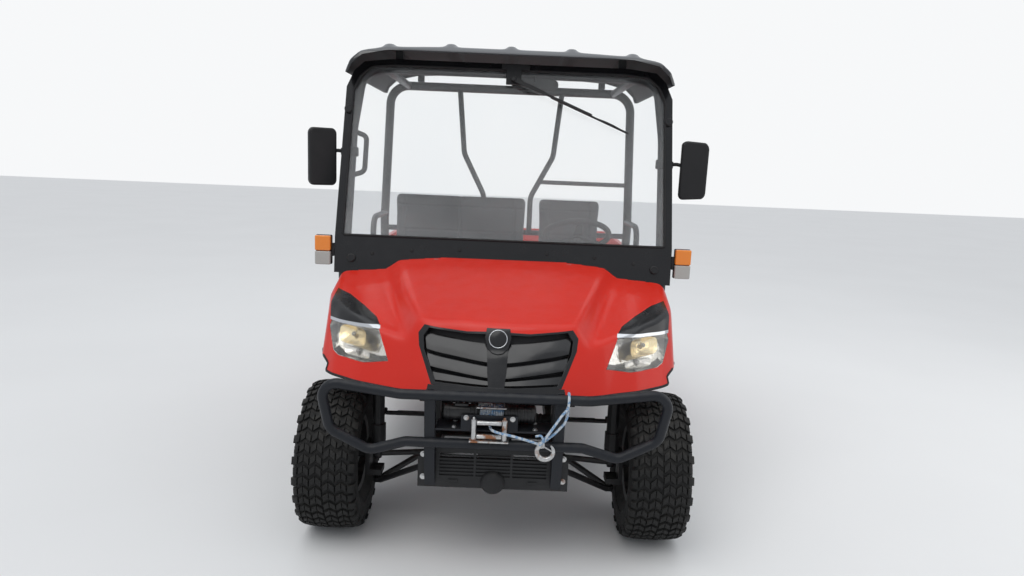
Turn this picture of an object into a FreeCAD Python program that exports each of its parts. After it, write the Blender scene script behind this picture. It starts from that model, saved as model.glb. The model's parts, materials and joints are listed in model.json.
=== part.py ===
import FreeCAD, Part
import math
import os

V = FreeCAD.Vector

# Side by side utility vehicle, millimetres. The front faces -Y, +Z is up and the floor is z = 0.
# The origin lies on the floor below the middle of the vehicle.

# Wheels and their places
TYRE_R = 310.0
FRONT_TYRE_W = 250.0
REAR_TYRE_W = 280.0
LUG_H = 11.0
LUGS_PER_SIDE = 11
LUG_W = 36.0
LUG_SKEW = 16.0
TYRE_SIDES = 24
RIM_SEAT_R = 152.0
RIM_W = 178.0
RIM_WALL = 5.0
RIM_LIP = 13.0
RIM_WELL = 18.0
RIM_SIDES = 12
RIM_DISC_T = 9.0
RIM_WINDOWS = 6
WHEELBASE = 2050.0
FRONT_AXLE_Y = -1040.0
REAR_AXLE_Y = FRONT_AXLE_Y + WHEELBASE
HALF_TRACK = 665.0
AXLE_Z = TYRE_R
HUB_R = 44.0
SPINDLE_R = 18.0
SPINDLE_SIDES = 12
HUB_CAP_R = 30.0
HUB_LEN = 115.0
CARRIER_X = HALF_TRACK - 168.0

# Running fits
FIT = 0.3
MOVE_GAP = 5.0

# Lower frame
RAIL_X = 250.0
RAIL_W = 50.0
RAIL_H = 70.0
RAIL_Z = 360.0
FRONT_OVERHANG = 355.0
REAR_OVERHANG = 420.0
RAIL_FRONT_Y = FRONT_AXLE_Y - FRONT_OVERHANG
RAIL_REAR_Y = REAR_AXLE_Y + REAR_OVERHANG
CROSS_W = 40.0
CROSS_H = 50.0
MUFFLER_Y = 620.0
POST_W = 45.0
TOWER_IN = 10.0
REAR_PLATE_HALF = 140.0
TOWER_RISE = 570.0
TOWER_Z = AXLE_Z + TOWER_RISE
PLATE_T = 10.0
DRAWBAR_T = 16.0
DRAWBAR_W = 110.0
DRAWBAR_L = 68.0
DRAWBAR_Z = RAIL_Z + 32.0
TOW_BORE_R = 10.0

# Roll cage
CAGE_R = 25.0
CAGE_HALF_W = 736.0
CAGE_TAPER = 32.0
CAGE_TOP_HALF = CAGE_HALF_W - CAGE_TAPER
CAGE_RISE = 1555.0
CAGE_TOP_Z = RAIL_Z + RAIL_H + CAGE_RISE
CAGE_BEND = 110.0
CAGE_REAR_Y = 400.0
CAGE_RAIL_IN = 104.0
CAGE_RAIL_X = CAGE_TOP_HALF - CAGE_RAIL_IN
CAGE_RAIL_R = 20.0
BRACE_R = 16.0
GUARD_R = 16.0
HANDLE_R = 12.0

# Cab
FLOOR_T = 6.0
SILL_HALF_W = CAGE_HALF_W + CAGE_R + 4.0
SILL_FRONT_Y = -575.0
FOOTWELL_HALF = CAGE_HALF_W - 36.0
FOOTWELL_Y = SILL_FRONT_Y - 20.0
FOOTWELL_MID_Y = FOOTWELL_Y - 95.0
FOOTWELL_MID_HALF = 370.0
CAB_REAR_Y = CAGE_REAR_Y + 40.0
SEAT_BASE_FRONT_Y = -130.0
SEAT_BASE_REAR_Y = CAGE_REAR_Y - 70.0
SEAT_BASE_HALF_W = CAGE_HALF_W - 16.0
SEAT_BASE_H = 344.0
SEAT_BASE_Z = RAIL_Z + RAIL_H + FLOOR_T + SEAT_BASE_H
CUSHION_T = 100.0
BACK_H = 505.0
BACK_TOP_Z = SEAT_BASE_Z + CUSHION_T + BACK_H
SEAT_GAP = 49.0
BENCH_X0 = -SEAT_BASE_HALF_W + 57.0
BENCH_X1 = 127.0
DRIVER_X0 = BENCH_X1 + SEAT_GAP
DRIVER_X1 = SEAT_BASE_HALF_W - 160.0

# Windscreen plane: y at z = SCREEN_Z0, leaning back by SCREEN_LEAN for each mm of height
SCREEN_Y0 = -690.0
SCREEN_Z0 = 1150.0
SCREEN_LEAN = 0.2824
SCREEN_LOW_Z = SCREEN_Z0 - 110.0
PANEL_H = 169.0
SCREEN_T = 5.0
SCREEN_FRAME_T = 12.0
SCREEN_BACK = 50.0
KNOB_R = 16.0
KNOB_H = 14.0
SPACER_R = 9.0
SPACER_LAP = 20.0
GLASS_IN = 3.0

# Roof
ROOF_OVER = 24.0
ROOF_HALF_W = CAGE_HALF_W + ROOF_OVER
ROOF_FRONT_Y = -575.0
ROOF_REAR_Y = CAGE_REAR_Y + 75.0
ROOF_T = 5.0
ROOF_RISE = 101.0
ROOF_TOP_Z = CAGE_TOP_Z + ROOF_RISE
ROOF_CROWN = 24.0
RIB_H = 22.0
RIB_W = 70.0
ROOF_EDGE_W = 190.0
RIB_PITCH = (ROOF_HALF_W - ROOF_EDGE_W) / 2
RIB_SLOPE = 12.0
PAD_HALF = 18.0
OUTER_DROP = 14.0

# Bonnet
BONNET_T = 4.0
BONNET_REAR_GAP = 22.0
BONNET_HINGE_Z = SCREEN_LOW_Z + 75.0
BONNET_HINGE_X = 300.0
HINGE_PIN_R = 4.0

# Front guard and winch
GUARD_TUBE_R = 19.0
GUARD_Y = RAIL_FRONT_Y - PLATE_T - 73.0
GUARD_Z = RAIL_Z + 380.0
GUARD_RAKE = -0.115
GUARD_POST_X = 238.0
GUARD_POST_W = 40.0
WINCH_X = -19.0
WINCH_Y = RAIL_FRONT_Y - 3.0
WINCH_Z = GUARD_Z - 100.0
WINCH_PLATE_T = 8.0
WINCH_R = 36.0
DRUM_R = 20.0
ROPE_R = 4.5

# Radiator guard
SCREEN_PLAY = 0.5
RG_EDGE = 16.0
RG_BRIDGE = 10.0
RG_ROWS = 7
RG_PITCH = 14.0
RG_BUMP_R = 46.0

# Front running gear
KINGPIN_X = HALF_TRACK - 165.0
ARM_L = 130.0
TIE_BAR_R = 11.0
TIE_BAR_Z = RAIL_Z + RAIL_H + 18.0
TIE_EYE_T = 12.0
TIE_EYE_R = 16.0
STRUT_R = 26.0
STRUT_TOP_Z = TOWER_Z - 248.0
SPRING_R = 44.0
SPRING_TURNS = 3
SPRING_SIDES = 8
DAMPER_R = 10.0
SHAFT_R = 12.0
CV_R = 26.0
DIFF_R = 60.0
DIFF_Z = AXLE_Z + 35.0
PROP_R = 15.0
ARM_EYE_X = 240.0
LOWER_EYE_Z = AXLE_Z - 85.0
LEG_R = 13.0

# Steering
WHEEL_X = DRIVER_X0 + 183.0
WHEEL_Y = -420.0
WHEEL_Z = SEAT_BASE_Z + 438.0
WHEEL_R = 170.0
WHEEL_RIM_R = 14.0
WHEEL_TILT = 31.0

# Cargo bed and its rails
BED_RAIL_H = 40.0
BED_RAIL_Z = 715.0
BED_FRONT_Y = CAB_REAR_Y + MOVE_GAP
BED_RAIL_FRONT_Y = BED_FRONT_Y
BED_RAIL_REAR_Y = REAR_AXLE_Y + 355.0
BED_REAR_Y = REAR_AXLE_Y + 470.0
BED_HALF_W = 740.0
BED_FLANGE_W = 22.0
BED_FLANGE_H = 25.0
BED_SILL_H = 35.0
BED_FLOOR_Z = BED_RAIL_Z + BED_RAIL_H + BED_SILL_H
BED_WALL_H = 290.0
BED_RIM_Z = BED_FLOOR_Z + BED_WALL_H
BED_T = 5.0
BED_HINGE_Y = REAR_AXLE_Y + 390.0
BED_HINGE_Z = BED_FLOOR_Z - 22.0
BED_PIN_R = 7.0
EAR_R = 13.0
EAR_T = 16.0
TAILGATE_T = 12.0
GATE_EAR_X = BED_HALF_W - 140.0
GATE_PIN_R = 4.0
TAILGATE_PIN_Y = BED_REAR_Y + MOVE_GAP + 7.0
TAILGATE_PIN_Z = BED_FLOOR_Z - 2.0

# Tipping ram
RAM_X = 179.0
RAM_W = 20.0
RAM_LOW_Y = BED_HINGE_Y - 100.0
RAM_LOW_Z = RAIL_Z + RAIL_H + 42.0
RAM_TOP_Y = BED_HINGE_Y - 260.0
RAM_TOP_Z = BED_FLOOR_Z - 32.0
RAM_R = 24.0
RAM_ROD_R = 11.0
RAM_PIN_R = 7.0
RAM_EYE_PLAY = 9.0


# Helpers
def box(x0, x1, y0, y1, z0, z1):
    return Part.makeBox(x1 - x0, y1 - y0, z1 - z0, V(x0, y0, z0))


def sides_for(r):
    return 6 if r < 9 else 8 if r < 40 else 12


def ring_points(centre, along, r, sides):
    along = V(along).normalize()
    first = along.cross(V(0, 0, 1))
    if first.Length < 0.3:
        first = along.cross(V(1, 0, 0))
    first.normalize()
    second = along.cross(first)
    step = 2 * math.pi / sides
    return [
        centre + first * (r * math.cos(step * (k + 0.5))) + second * (r * math.sin(step * (k + 0.5)))
        for k in range(sides)
    ]


def rod(a, b, r, sides=0):
    # round bar as a prism whose corners lie at the radius
    a, b = V(*a), V(*b)
    pts = ring_points(a, b - a, r, sides or sides_for(r))
    return Part.Face(Part.makePolygon(pts + [pts[0]])).extrude(b - a)


def hole(a, b, r, sides=0):
    # round hole as a prism whose flats lie at the radius, so that a bar of that radius turns in it
    n = sides or sides_for(r)
    return rod(a, b, r / math.cos(math.pi / n), n)


def plate(points, direction):
    wire = Part.makePolygon([V(*p) for p in points] + [V(*points[0])])
    return Part.Face(wire).extrude(V(*direction))


def prism_yz(points, x0, x1):
    return plate([(x0, y, z) for y, z in points], (x1 - x0, 0, 0))


def prism_xz(points, y0, y1):
    return plate([(x, y0, z) for x, z in points], (0, y1 - y0, 0))


def prism_xy(points, z0, z1):
    return plate([(x, y, z0) for x, y in points], (0, 0, z1 - z0))


def fuse(shapes):
    return shapes[0].multiFuse(shapes[1:]).removeSplitter()


def mirrored(shape):
    return shape.mirror(V(0, 0, 0), V(1, 0, 0))


def pair(shape):
    return Part.Compound([shape, mirrored(shape)])


def skin(rings, closed=False):
    # solid through rings of as many points each; a quad that isn't flat becomes two triangles
    faces = []
    count = len(rings)
    for k in range(count if closed else count - 1):
        a, b = rings[k], rings[(k + 1) % count]
        m = len(a)
        for i in range(m):
            j = (i + 1) % m
            quad = [a[i], a[j], b[j], b[i]]
            loop = []
            for p in quad:
                if not loop or (p - loop[-1]).Length > 1e-6:
                    loop.append(p)
            if (loop[0] - loop[-1]).Length < 1e-6:
                loop.pop()
            if len(loop) < 3:
                continue
            if len(loop) == 4:
                n = (loop[1] - loop[0]).cross(loop[2] - loop[0]).normalize()
                if abs(n.dot(loop[3] - loop[0])) > 1e-4:
                    for tri in ([loop[0], loop[1], loop[2]], [loop[0], loop[2], loop[3]]):
                        faces.append(Part.Face(Part.makePolygon(tri + [tri[0]])))
                    continue
            faces.append(Part.Face(Part.makePolygon(loop + [loop[0]])))
    if not closed:
        for end in (rings[0], rings[-1]):
            faces.append(Part.Face(Part.makePolygon(end + [end[0]])))
    solid = Part.makeSolid(Part.makeShell(faces))
    if solid.Volume < 0:
        solid.reverse()
    return solid


BEND_STEP = 34.0


def bend_points(points, radii, closed=False):
    # straight runs joined by bends, each bend in short chords of its arc
    pts = [V(*p) for p in points]
    n = len(pts)
    path = [] if closed else [pts[0]]
    corners = range(n) if closed else range(1, n - 1)
    for k, i in enumerate(corners):
        p, before, after = pts[i], pts[i - 1], pts[(i + 1) % n]
        u = (before - p).normalize()
        w = (after - p).normalize()
        half = u.getAngle(w) / 2
        reach = radii[k] / math.tan(half)
        centre = p + (u + w).normalize() * (radii[k] / math.sin(half))
        start, end = p + u * reach - centre, p + w * reach - centre
        turn = start.getAngle(end)
        chords = max(1, math.ceil(math.degrees(turn) / BEND_STEP))
        for c in range(chords + 1):
            t = turn * c / chords
            path.append(centre + start * (math.sin(turn - t) / math.sin(turn)) + end * (math.sin(t) / math.sin(turn)))
    if not closed:
        path.append(pts[-1])
    return path


def swept(path, r, closed=False):
    # round bar along a path of short chords, with mitred facets; a closed path lies in one plane
    if closed:
        path = [(path[-1] + path[0]) * 0.5] + path
    count = len(path)
    first = (path[1] - path[0]).normalize()
    ring = ring_points(path[0], first, r, sides_for(r))
    rings = [ring]
    for i in range(1, count):
        inward = (path[i] - path[i - 1]).normalize()
        if i + 1 < count:
            onward = (path[i + 1] - path[i]).normalize()
        else:
            onward = (path[0] - path[i]).normalize() if closed else inward
        normal = (inward + onward).normalize()
        moved = []
        for q in rings[-1]:
            t = normal.dot(path[i] - q) / normal.dot(inward)
            moved.append(q + inward * t)
        rings.append(moved)
    return skin(rings, closed)


def tube(points, r, radii, closed=False):
    return swept(bend_points(points, radii, closed), r, closed)


def turned(profile, sides, centre, phase=0.0):
    # faceted turned solid about an axis along X; the profile is a closed loop of (x, radius)
    cx, cy, cz = centre
    rings = []
    for k in range(sides):
        a = 2 * math.pi * (k + phase) / sides
        rings.append([V(cx + x, cy + r * math.sin(a), cz + r * math.cos(a)) for x, r in profile])
    return skin(rings, True)


def screen_y(z):
    return SCREEN_Y0 + (z - SCREEN_Z0) * SCREEN_LEAN


def screen_plate(points, front, back):
    # plate parallel to the windscreen; front and back are distances behind its plane along Y
    face = [(x, screen_y(z) + front, z) for x, z in points]
    return plate(face, (0, back - front, 0))


NODES = {}


def add(name, shape):
    NODES[name] = shape


# Wheels
def tyre(width, side_x, axle_y):
    w = width / 2
    tread = TYRE_R - LUG_H
    seat = (RIM_SEAT_R + FIT) / math.cos(math.pi / TYRE_SIDES)
    half = RIM_W / 2 - RIM_WALL
    wall = tread - seat
    loop = [
        (-half, seat),
        (half, seat),
        (half + 8, seat + wall * 0.17),
        (w, seat + wall * 0.54),
        (w - 10, tread - 18),
        (w - 38, tread),
        (-w + 38, tread),
        (-w + 10, tread - 18),
        (-w, seat + wall * 0.54),
        (-half - 8, seat + wall * 0.17),
    ]
    carcass = turned(loop, TYRE_SIDES, (0, 0, 0), 0.5)
    lugs = []
    low = tread - 24
    section = [(14, low), (14, TYRE_R), (w - 30, TYRE_R), (w - 3, low)]
    for side in (1, -1):
        for k in range(LUGS_PER_SIDE):
            block = prism_xz([(side * x, z) for x, z in section], -LUG_W / 2, LUG_W / 2)
            block.rotate(V(side * w * 0.6, 0, 0), V(0, 0, 1), -side * LUG_SKEW)
            turn = 360.0 / LUGS_PER_SIDE * (k + (0.5 if side > 0 else 0.0))
            block.rotate(V(0, 0, 0), V(1, 0, 0), turn)
            lugs.append(block)
    solid = carcass.multiFuse(lugs)
    solid.translate(V(side_x, axle_y, AXLE_Z))
    return solid


def rim(side_x, axle_y, sign):
    half = RIM_W / 2
    out = RIM_SEAT_R
    well = out - RIM_WELL
    t = RIM_WALL
    barrel = [
        (-half, out + RIM_LIP),
        (-half + t, out),
        (-30, well),
        (30, well),
        (half - t, out),
        (half, out + RIM_LIP),
        (half - 1, out - t),
        (32, well - t),
        (-32, well - t),
        (-half + 1, out - t),
    ]
    ring = turned(barrel, RIM_SIDES, (0, 0, 0), 0.5)
    dish = rod((8, 0, 0), (8 + RIM_DISC_T, 0, 0), well - t / 2, RIM_SIDES)
    hub = rod((-80, 0, 0), (24, 0, 0), HUB_R)
    cap = rod((24, 0, 0), (40, 0, 0), HUB_CAP_R)
    body = fuse([ring, dish, hub, cap]).cut(hole((-81, 0, 0), (16, 0, 0), SPINDLE_R + FIT, SPINDLE_SIDES))
    windows = []
    for k in range(RIM_WINDOWS):
        window = prism_yz([(-17, 88), (17, 88), (24, 116), (-24, 116)], 0, 40)
        window.rotate(V(0, 0, 0), V(1, 0, 0), 360.0 / RIM_WINDOWS * k)
        windows.append(window)
    body = body.cut(windows)
    if sign < 0:
        body = mirrored(body)
    body.translate(V(side_x, axle_y, AXLE_Z))
    return body


WHEELS = [
    # name, side, axle y, tyre width
    ("front_left", 1, FRONT_AXLE_Y, FRONT_TYRE_W),
    ("front_right", -1, FRONT_AXLE_Y, FRONT_TYRE_W),
    ("rear_left", 1, REAR_AXLE_Y, REAR_TYRE_W),
    ("rear_right", -1, REAR_AXLE_Y, REAR_TYRE_W),
]
for name, side, axle_y, width in WHEELS:
    add("rim_" + name, rim(side * HALF_TRACK, axle_y, side))
    add("tyre_" + name, tyre(width, side * HALF_TRACK, axle_y))

# Lower frame, bed rails, strut towers and drawbar
RAIL_TOP = RAIL_Z + RAIL_H
rail_in, rail_out = RAIL_X - RAIL_W / 2, RAIL_X + RAIL_W / 2
bed_rail_end = BED_RAIL_Z + BED_RAIL_H
half_frame = [
    box(rail_in, rail_out, RAIL_FRONT_Y, RAIL_REAR_Y, RAIL_Z, RAIL_TOP),
    box(rail_in, rail_out, BED_RAIL_FRONT_Y, BED_RAIL_REAR_Y, BED_RAIL_Z, bed_rail_end),
    box(rail_in, rail_out, BED_RAIL_FRONT_Y, BED_RAIL_FRONT_Y + POST_W, RAIL_TOP, BED_RAIL_Z),
    box(rail_in, rail_out, BED_RAIL_REAR_Y - POST_W, BED_RAIL_REAR_Y, RAIL_TOP, BED_RAIL_Z),
    box(rail_in + TOWER_IN, rail_out, FRONT_AXLE_Y - 30, FRONT_AXLE_Y + 30, RAIL_TOP, TOWER_Z),
]
# brackets of the lower arms, under the rails
for axle_y in (FRONT_AXLE_Y, REAR_AXLE_Y):
    for end in (-1, 1):
        near, far = sorted((axle_y + end * (60 - FIT), axle_y + end * 80))
        half_frame.append(box(rail_in, rail_in + 30, near, far, RAIL_Z - 48, RAIL_Z))
tower_arm = box(rail_in + TOWER_IN, KINGPIN_X + 45, FRONT_AXLE_Y - 40, FRONT_AXLE_Y + 40, TOWER_Z, TOWER_Z + PLATE_T)
half_frame.append(tower_arm.cut(rod((KINGPIN_X, FRONT_AXLE_Y, TOWER_Z - 1), (KINGPIN_X, FRONT_AXLE_Y, TOWER_Z + PLATE_T + 1), DAMPER_R)))
hinge_ear = prism_yz(
    [
        (BED_RAIL_REAR_Y, BED_RAIL_Z),
        (BED_RAIL_REAR_Y + 12, BED_RAIL_Z),
        (BED_HINGE_Y + EAR_R, BED_HINGE_Z - EAR_R * 0.6),
        (BED_HINGE_Y + EAR_R, BED_HINGE_Z + EAR_R * 0.6),
        (BED_HINGE_Y + EAR_R * 0.5, BED_HINGE_Z + EAR_R),
        (BED_HINGE_Y - EAR_R * 0.6, BED_HINGE_Z + EAR_R),
        (BED_RAIL_REAR_Y, bed_rail_end),
    ],
    RAIL_X - EAR_T / 2,
    RAIL_X + EAR_T / 2,
)
half_frame.append(hinge_ear.cut(hole((RAIL_X - 9, BED_HINGE_Y, BED_HINGE_Z), (RAIL_X + 9, BED_HINGE_Y, BED_HINGE_Z), BED_PIN_R + FIT)))
frame = half_frame + [mirrored(s) for s in half_frame]
CROSS = [
    # y of the middle, z of the underside, height
    (RAIL_FRONT_Y + 25, RAIL_Z, RAIL_H),
    (FRONT_AXLE_Y + 190, RAIL_TOP - CROSS_H, CROSS_H),
    (-480, RAIL_TOP - CROSS_H, CROSS_H),
    (REAR_AXLE_Y + 170, RAIL_TOP - CROSS_H, CROSS_H),
    (RAIL_REAR_Y - CROSS_W / 2, RAIL_Z, RAIL_H),
    (MUFFLER_Y, BED_RAIL_Z, BED_RAIL_H),
    (REAR_AXLE_Y + 40, BED_RAIL_Z, BED_RAIL_H),
]
for y, z, h in CROSS:
    frame.append(box(-rail_in, rail_in, y - CROSS_W / 2, y + CROSS_W / 2, z, z + h))
end_low, end_high = RAIL_Z - 20, RAIL_TOP + 30
front_half = rail_out + 10
frame.append(box(-front_half, front_half, RAIL_FRONT_Y - PLATE_T, RAIL_FRONT_Y, end_low, end_high))
frame.append(box(-REAR_PLATE_HALF, REAR_PLATE_HALF, RAIL_REAR_Y, RAIL_REAR_Y + PLATE_T, end_low, end_high))
# drawbar with the hole for the tow pin
hitch_y = RAIL_REAR_Y + PLATE_T
tow_y = hitch_y + DRAWBAR_L / 2
drawbar = box(-DRAWBAR_W / 2, DRAWBAR_W / 2, hitch_y, hitch_y + DRAWBAR_L, DRAWBAR_Z, DRAWBAR_Z + DRAWBAR_T)
frame.append(drawbar.cut(Part.makeCylinder(TOW_BORE_R, DRAWBAR_T + 2, V(0, tow_y, DRAWBAR_Z - 1))))
# ram bracket on the left rail
ram_side = RAM_X + RAM_W / 2 + 1
ram_plate = ram_side + PLATE_T
ram_foot = [
    box(ram_side, rail_out, RAM_LOW_Y - 22, RAM_LOW_Y + 20, RAIL_TOP, RAIL_TOP + PLATE_T),
    box(ram_side, ram_plate, RAM_LOW_Y - 22, RAM_LOW_Y + 20, RAIL_TOP, RAM_LOW_Z + 18),
    rod((RAM_X - RAM_W / 2 - 3, RAM_LOW_Y, RAM_LOW_Z), (ram_side, RAM_LOW_Y, RAM_LOW_Z), RAM_PIN_R),
]
frame.append(fuse(ram_foot))
add("chassis_frame", Part.Compound(frame))


# Front guard of bent tube, with its posts and the winch plate
def guard_point(x, z):
    return (x, GUARD_Y + (z - GUARD_Z) * GUARD_RAKE, z)


GUARD_HALF = [
    # x, height from GUARD_Z, bend radius
    (346, -14, 140),
    (638, 27, 55),
    (605, -164, 60),
    (460, -243, 60),
    (327, -203, 60),
]
guard_ring = GUARD_HALF + [(-x, h, r) for x, h, r in reversed(GUARD_HALF)]
ring = tube([guard_point(x, GUARD_Z + h) for x, h, r in guard_ring], GUARD_TUBE_R, [r for x, h, r in guard_ring], True)
guard = [ring]
plate_y = RAIL_FRONT_Y - PLATE_T
post_side = [
    (plate_y, end_low + 5),
    (plate_y, GUARD_Z - 220),
    (GUARD_Y + 35, GUARD_Z - 18),
    (GUARD_Y, GUARD_Z - 8),
    (GUARD_Y + 24, GUARD_Z - 203),
    (GUARD_Y + 34, GUARD_Z - 310),
]
winch_top = WINCH_Z - WINCH_R - 10
for s in (1, -1):
    x0 = s * GUARD_POST_X
    guard.append(prism_yz(post_side, x0 - GUARD_POST_W / 2, x0 + GUARD_POST_W / 2))
inner = GUARD_POST_X - GUARD_POST_W / 2
flange_y = GUARD_Y + 18
guard.append(box(-inner, inner, flange_y, WINCH_Y + 45, winch_top - WINCH_PLATE_T, winch_top))
guard.append(box(WINCH_X - 105, WINCH_X + 105, flange_y, flange_y + WINCH_PLATE_T, winch_top - WINCH_PLATE_T, WINCH_Z + 10))
guard = fuse(guard)
slot_z = WINCH_Z - 37
guard = guard.cut(box(WINCH_X - 60, WINCH_X + 60, flange_y - 1, flange_y + WINCH_PLATE_T + 1, slot_z - 14, slot_z + 22))
add("front_guard", guard)

# Winch with motor, drum and gearbox
winch = [
    rod((-191, WINCH_Y, WINCH_Z), (-76, WINCH_Y, WINCH_Z), WINCH_R - 3),
    rod((-76, WINCH_Y, WINCH_Z), (-64, WINCH_Y, WINCH_Z), WINCH_R + 4),
    rod((-64, WINCH_Y, WINCH_Z), (36, WINCH_Y, WINCH_Z), DRUM_R),
    rod((36, WINCH_Y, WINCH_Z), (48, WINCH_Y, WINCH_Z), WINCH_R + 4),
    rod((48, WINCH_Y, WINCH_Z), (153, WINCH_Y, WINCH_Z), WINCH_R),
    box(-76, -64, WINCH_Y - 30, WINCH_Y + 30, winch_top, WINCH_Z),
    box(36, 48, WINCH_Y - 30, WINCH_Y + 30, winch_top, WINCH_Z),
    rod((-70, WINCH_Y + 28, WINCH_Z + 25), (42, WINCH_Y + 28, WINCH_Z + 25), 5),
]
add("winch", fuse(winch))

# Fairlead of four rollers
fl_y = flange_y
fl = [
    box(WINCH_X - 72, WINCH_X + 72, fl_y - 6, fl_y, slot_z - 46, slot_z + 46),
    box(WINCH_X - 72, WINCH_X + 72, fl_y - 34, fl_y - 6, slot_z - 46, slot_z - 40),
    box(WINCH_X - 72, WINCH_X + 72, fl_y - 34, fl_y - 6, slot_z + 40, slot_z + 46),
]
fairlead = fuse(fl).cut(box(WINCH_X - 50, WINCH_X + 50, fl_y - 7, fl_y + 1, slot_z - 18, slot_z + 26))
rollers = [
    rod((WINCH_X - 56, fl_y - 20, slot_z - 40), (WINCH_X - 56, fl_y - 20, slot_z + 40), 10),
    rod((WINCH_X + 56, fl_y - 20, slot_z - 40), (WINCH_X + 56, fl_y - 20, slot_z + 40), 10),
    rod((WINCH_X - 50, fl_y - 20, slot_z - 26), (WINCH_X + 50, fl_y - 20, slot_z - 26), 9),
    rod((WINCH_X - 50, fl_y - 20, slot_z + 26), (WINCH_X + 50, fl_y - 20, slot_z + 26), 9),
]
add("fairlead", fuse([fairlead] + rollers))

# Slotted radiator guard below the bumper
rg_y = plate_y - 6
rg_half = inner - SCREEN_PLAY
rg_low, rg_high = end_low + 6, GUARD_Z - 237
radiator = prism_xz([(-rg_half, rg_high), (rg_half, rg_high), (rg_half, rg_low + 30), (90, rg_low), (-90, rg_low), (-rg_half, rg_low + 30)], rg_y, plate_y)
slots = []
field = (2 * rg_half - 2 * RG_EDGE - 2 * RG_BRIDGE) / 3
for row in range(RG_ROWS):
    z = rg_low + 44 + row * RG_PITCH
    for column in (-1, 0, 1):
        x = column * (field + RG_BRIDGE)
        slots.append(box(x - field / 2, x + field / 2, rg_y - 1, plate_y + 1, z, z + RG_PITCH * 0.5))
radiator = radiator.cut(slots)
bumper = turned([(0, 0), (0, RG_BUMP_R), (-14, RG_BUMP_R - 6), (-22, RG_BUMP_R - 20), (-26, 0)], 10, (0, 0, 0))
bumper.rotate(V(0, 0, 0), V(0, 0, 1), 90)
bumper.translate(V(0, rg_y, rg_low + 22))
add("radiator_guard", radiator.fuse(bumper))

# Floor tub with the footwell wall and outer cheeks
z0, z1 = RAIL_TOP, RAIL_TOP + FLOOR_T
floor = box(-SILL_HALF_W, SILL_HALF_W, SILL_FRONT_Y, CAB_REAR_Y, z0, z1)
floor = floor.fuse(box(-FOOTWELL_HALF, FOOTWELL_HALF, FOOTWELL_Y, SILL_FRONT_Y, z0, z1))
floor = floor.fuse(box(-FOOTWELL_MID_HALF, FOOTWELL_MID_HALF, FOOTWELL_MID_Y, FOOTWELL_Y, z0, z1))
floor = floor.cut(box(-400, 400, SEAT_BASE_FRONT_Y + 40, CAB_REAR_Y + 1, z0 - 1, z1 + 1))
t = FLOOR_T
wall_half = [
    (FOOTWELL_MID_HALF, FOOTWELL_MID_Y),
    (FOOTWELL_MID_HALF, FOOTWELL_Y),
    (FOOTWELL_HALF, FOOTWELL_Y),
    (FOOTWELL_HALF, FOOTWELL_Y + t),
    (FOOTWELL_MID_HALF - t, FOOTWELL_Y + t),
    (FOOTWELL_MID_HALF - t, FOOTWELL_MID_Y + t),
]
wall_plan = wall_half + [(-x, y) for x, y in reversed(wall_half)]
DASH_Z = SEAT_BASE_Z + 80.0
DASH_MID_Z = SCREEN_LOW_Z - 10.0
DASH_GAP = 20.0
dash_y = screen_y(DASH_MID_Z) + DASH_GAP
wall = prism_xy(wall_plan, z1, DASH_Z)
cheek = prism_yz(
    [(FOOTWELL_Y, z1), (FOOTWELL_Y, DASH_Z), (dash_y, DASH_Z), (dash_y, DASH_Z - 100), (FOOTWELL_Y - 60, DASH_Z - 160)],
    FOOTWELL_HALF - t,
    FOOTWELL_HALF,
)
add("floor_tub", fuse([floor, wall, cheek, mirrored(cheek)]))

# Dash and cowl: a hollow moulding open below
DASH_HALF = FOOTWELL_HALF
DASH_T = 5.0
dash_top_y = screen_y(SCREEN_LOW_Z + 95) + DASH_GAP
dash_side = [
    (screen_y(DASH_Z) + 90, DASH_Z),
    (dash_y, DASH_MID_Z),
    (dash_top_y, SCREEN_LOW_Z + 95),
    (-520, SCREEN_LOW_Z + 80),
    (-475, SCREEN_LOW_Z + 40),
    (-500, SCREEN_LOW_Z - 60),
    (-560, DASH_Z),
]
dash_inner = [
    (screen_y(DASH_Z) + 90 + DASH_T, DASH_Z - 1),
    (dash_y + DASH_T + 1, DASH_MID_Z - 2),
    (dash_top_y + DASH_T, SCREEN_LOW_Z + 90),
    (-522, SCREEN_LOW_Z + 80 - DASH_T),
    (-481, SCREEN_LOW_Z + 39),
    (-505, SCREEN_LOW_Z - 58),
    (-565, DASH_Z - 1),
]
dash = prism_yz(dash_side, -DASH_HALF, DASH_HALF).cut(prism_yz(dash_inner, -DASH_HALF + DASH_T, DASH_HALF - DASH_T))
dash_floor = box(-DASH_HALF, DASH_HALF, FOOTWELL_MID_Y, -560, DASH_Z, DASH_Z + DASH_T)
add("dash", dash.fuse(dash_floor).removeSplitter())

# Seat base over the engine, hollow and open below
seat_base = box(-SEAT_BASE_HALF_W, SEAT_BASE_HALF_W, SEAT_BASE_FRONT_Y, SEAT_BASE_REAR_Y, z1, SEAT_BASE_Z)
seat_base = seat_base.cut(
    box(-SEAT_BASE_HALF_W + FLOOR_T, SEAT_BASE_HALF_W - FLOOR_T, SEAT_BASE_FRONT_Y + FLOOR_T, SEAT_BASE_REAR_Y - FLOOR_T, z1 - 1, SEAT_BASE_Z - FLOOR_T)
)
seat_base = seat_base.cut(box(-165, 165, SEAT_BASE_REAR_Y - FLOOR_T - 1, SEAT_BASE_REAR_Y + 1, z1 - 1, SEAT_BASE_Z - 135))
add("seat_base", seat_base)

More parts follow.
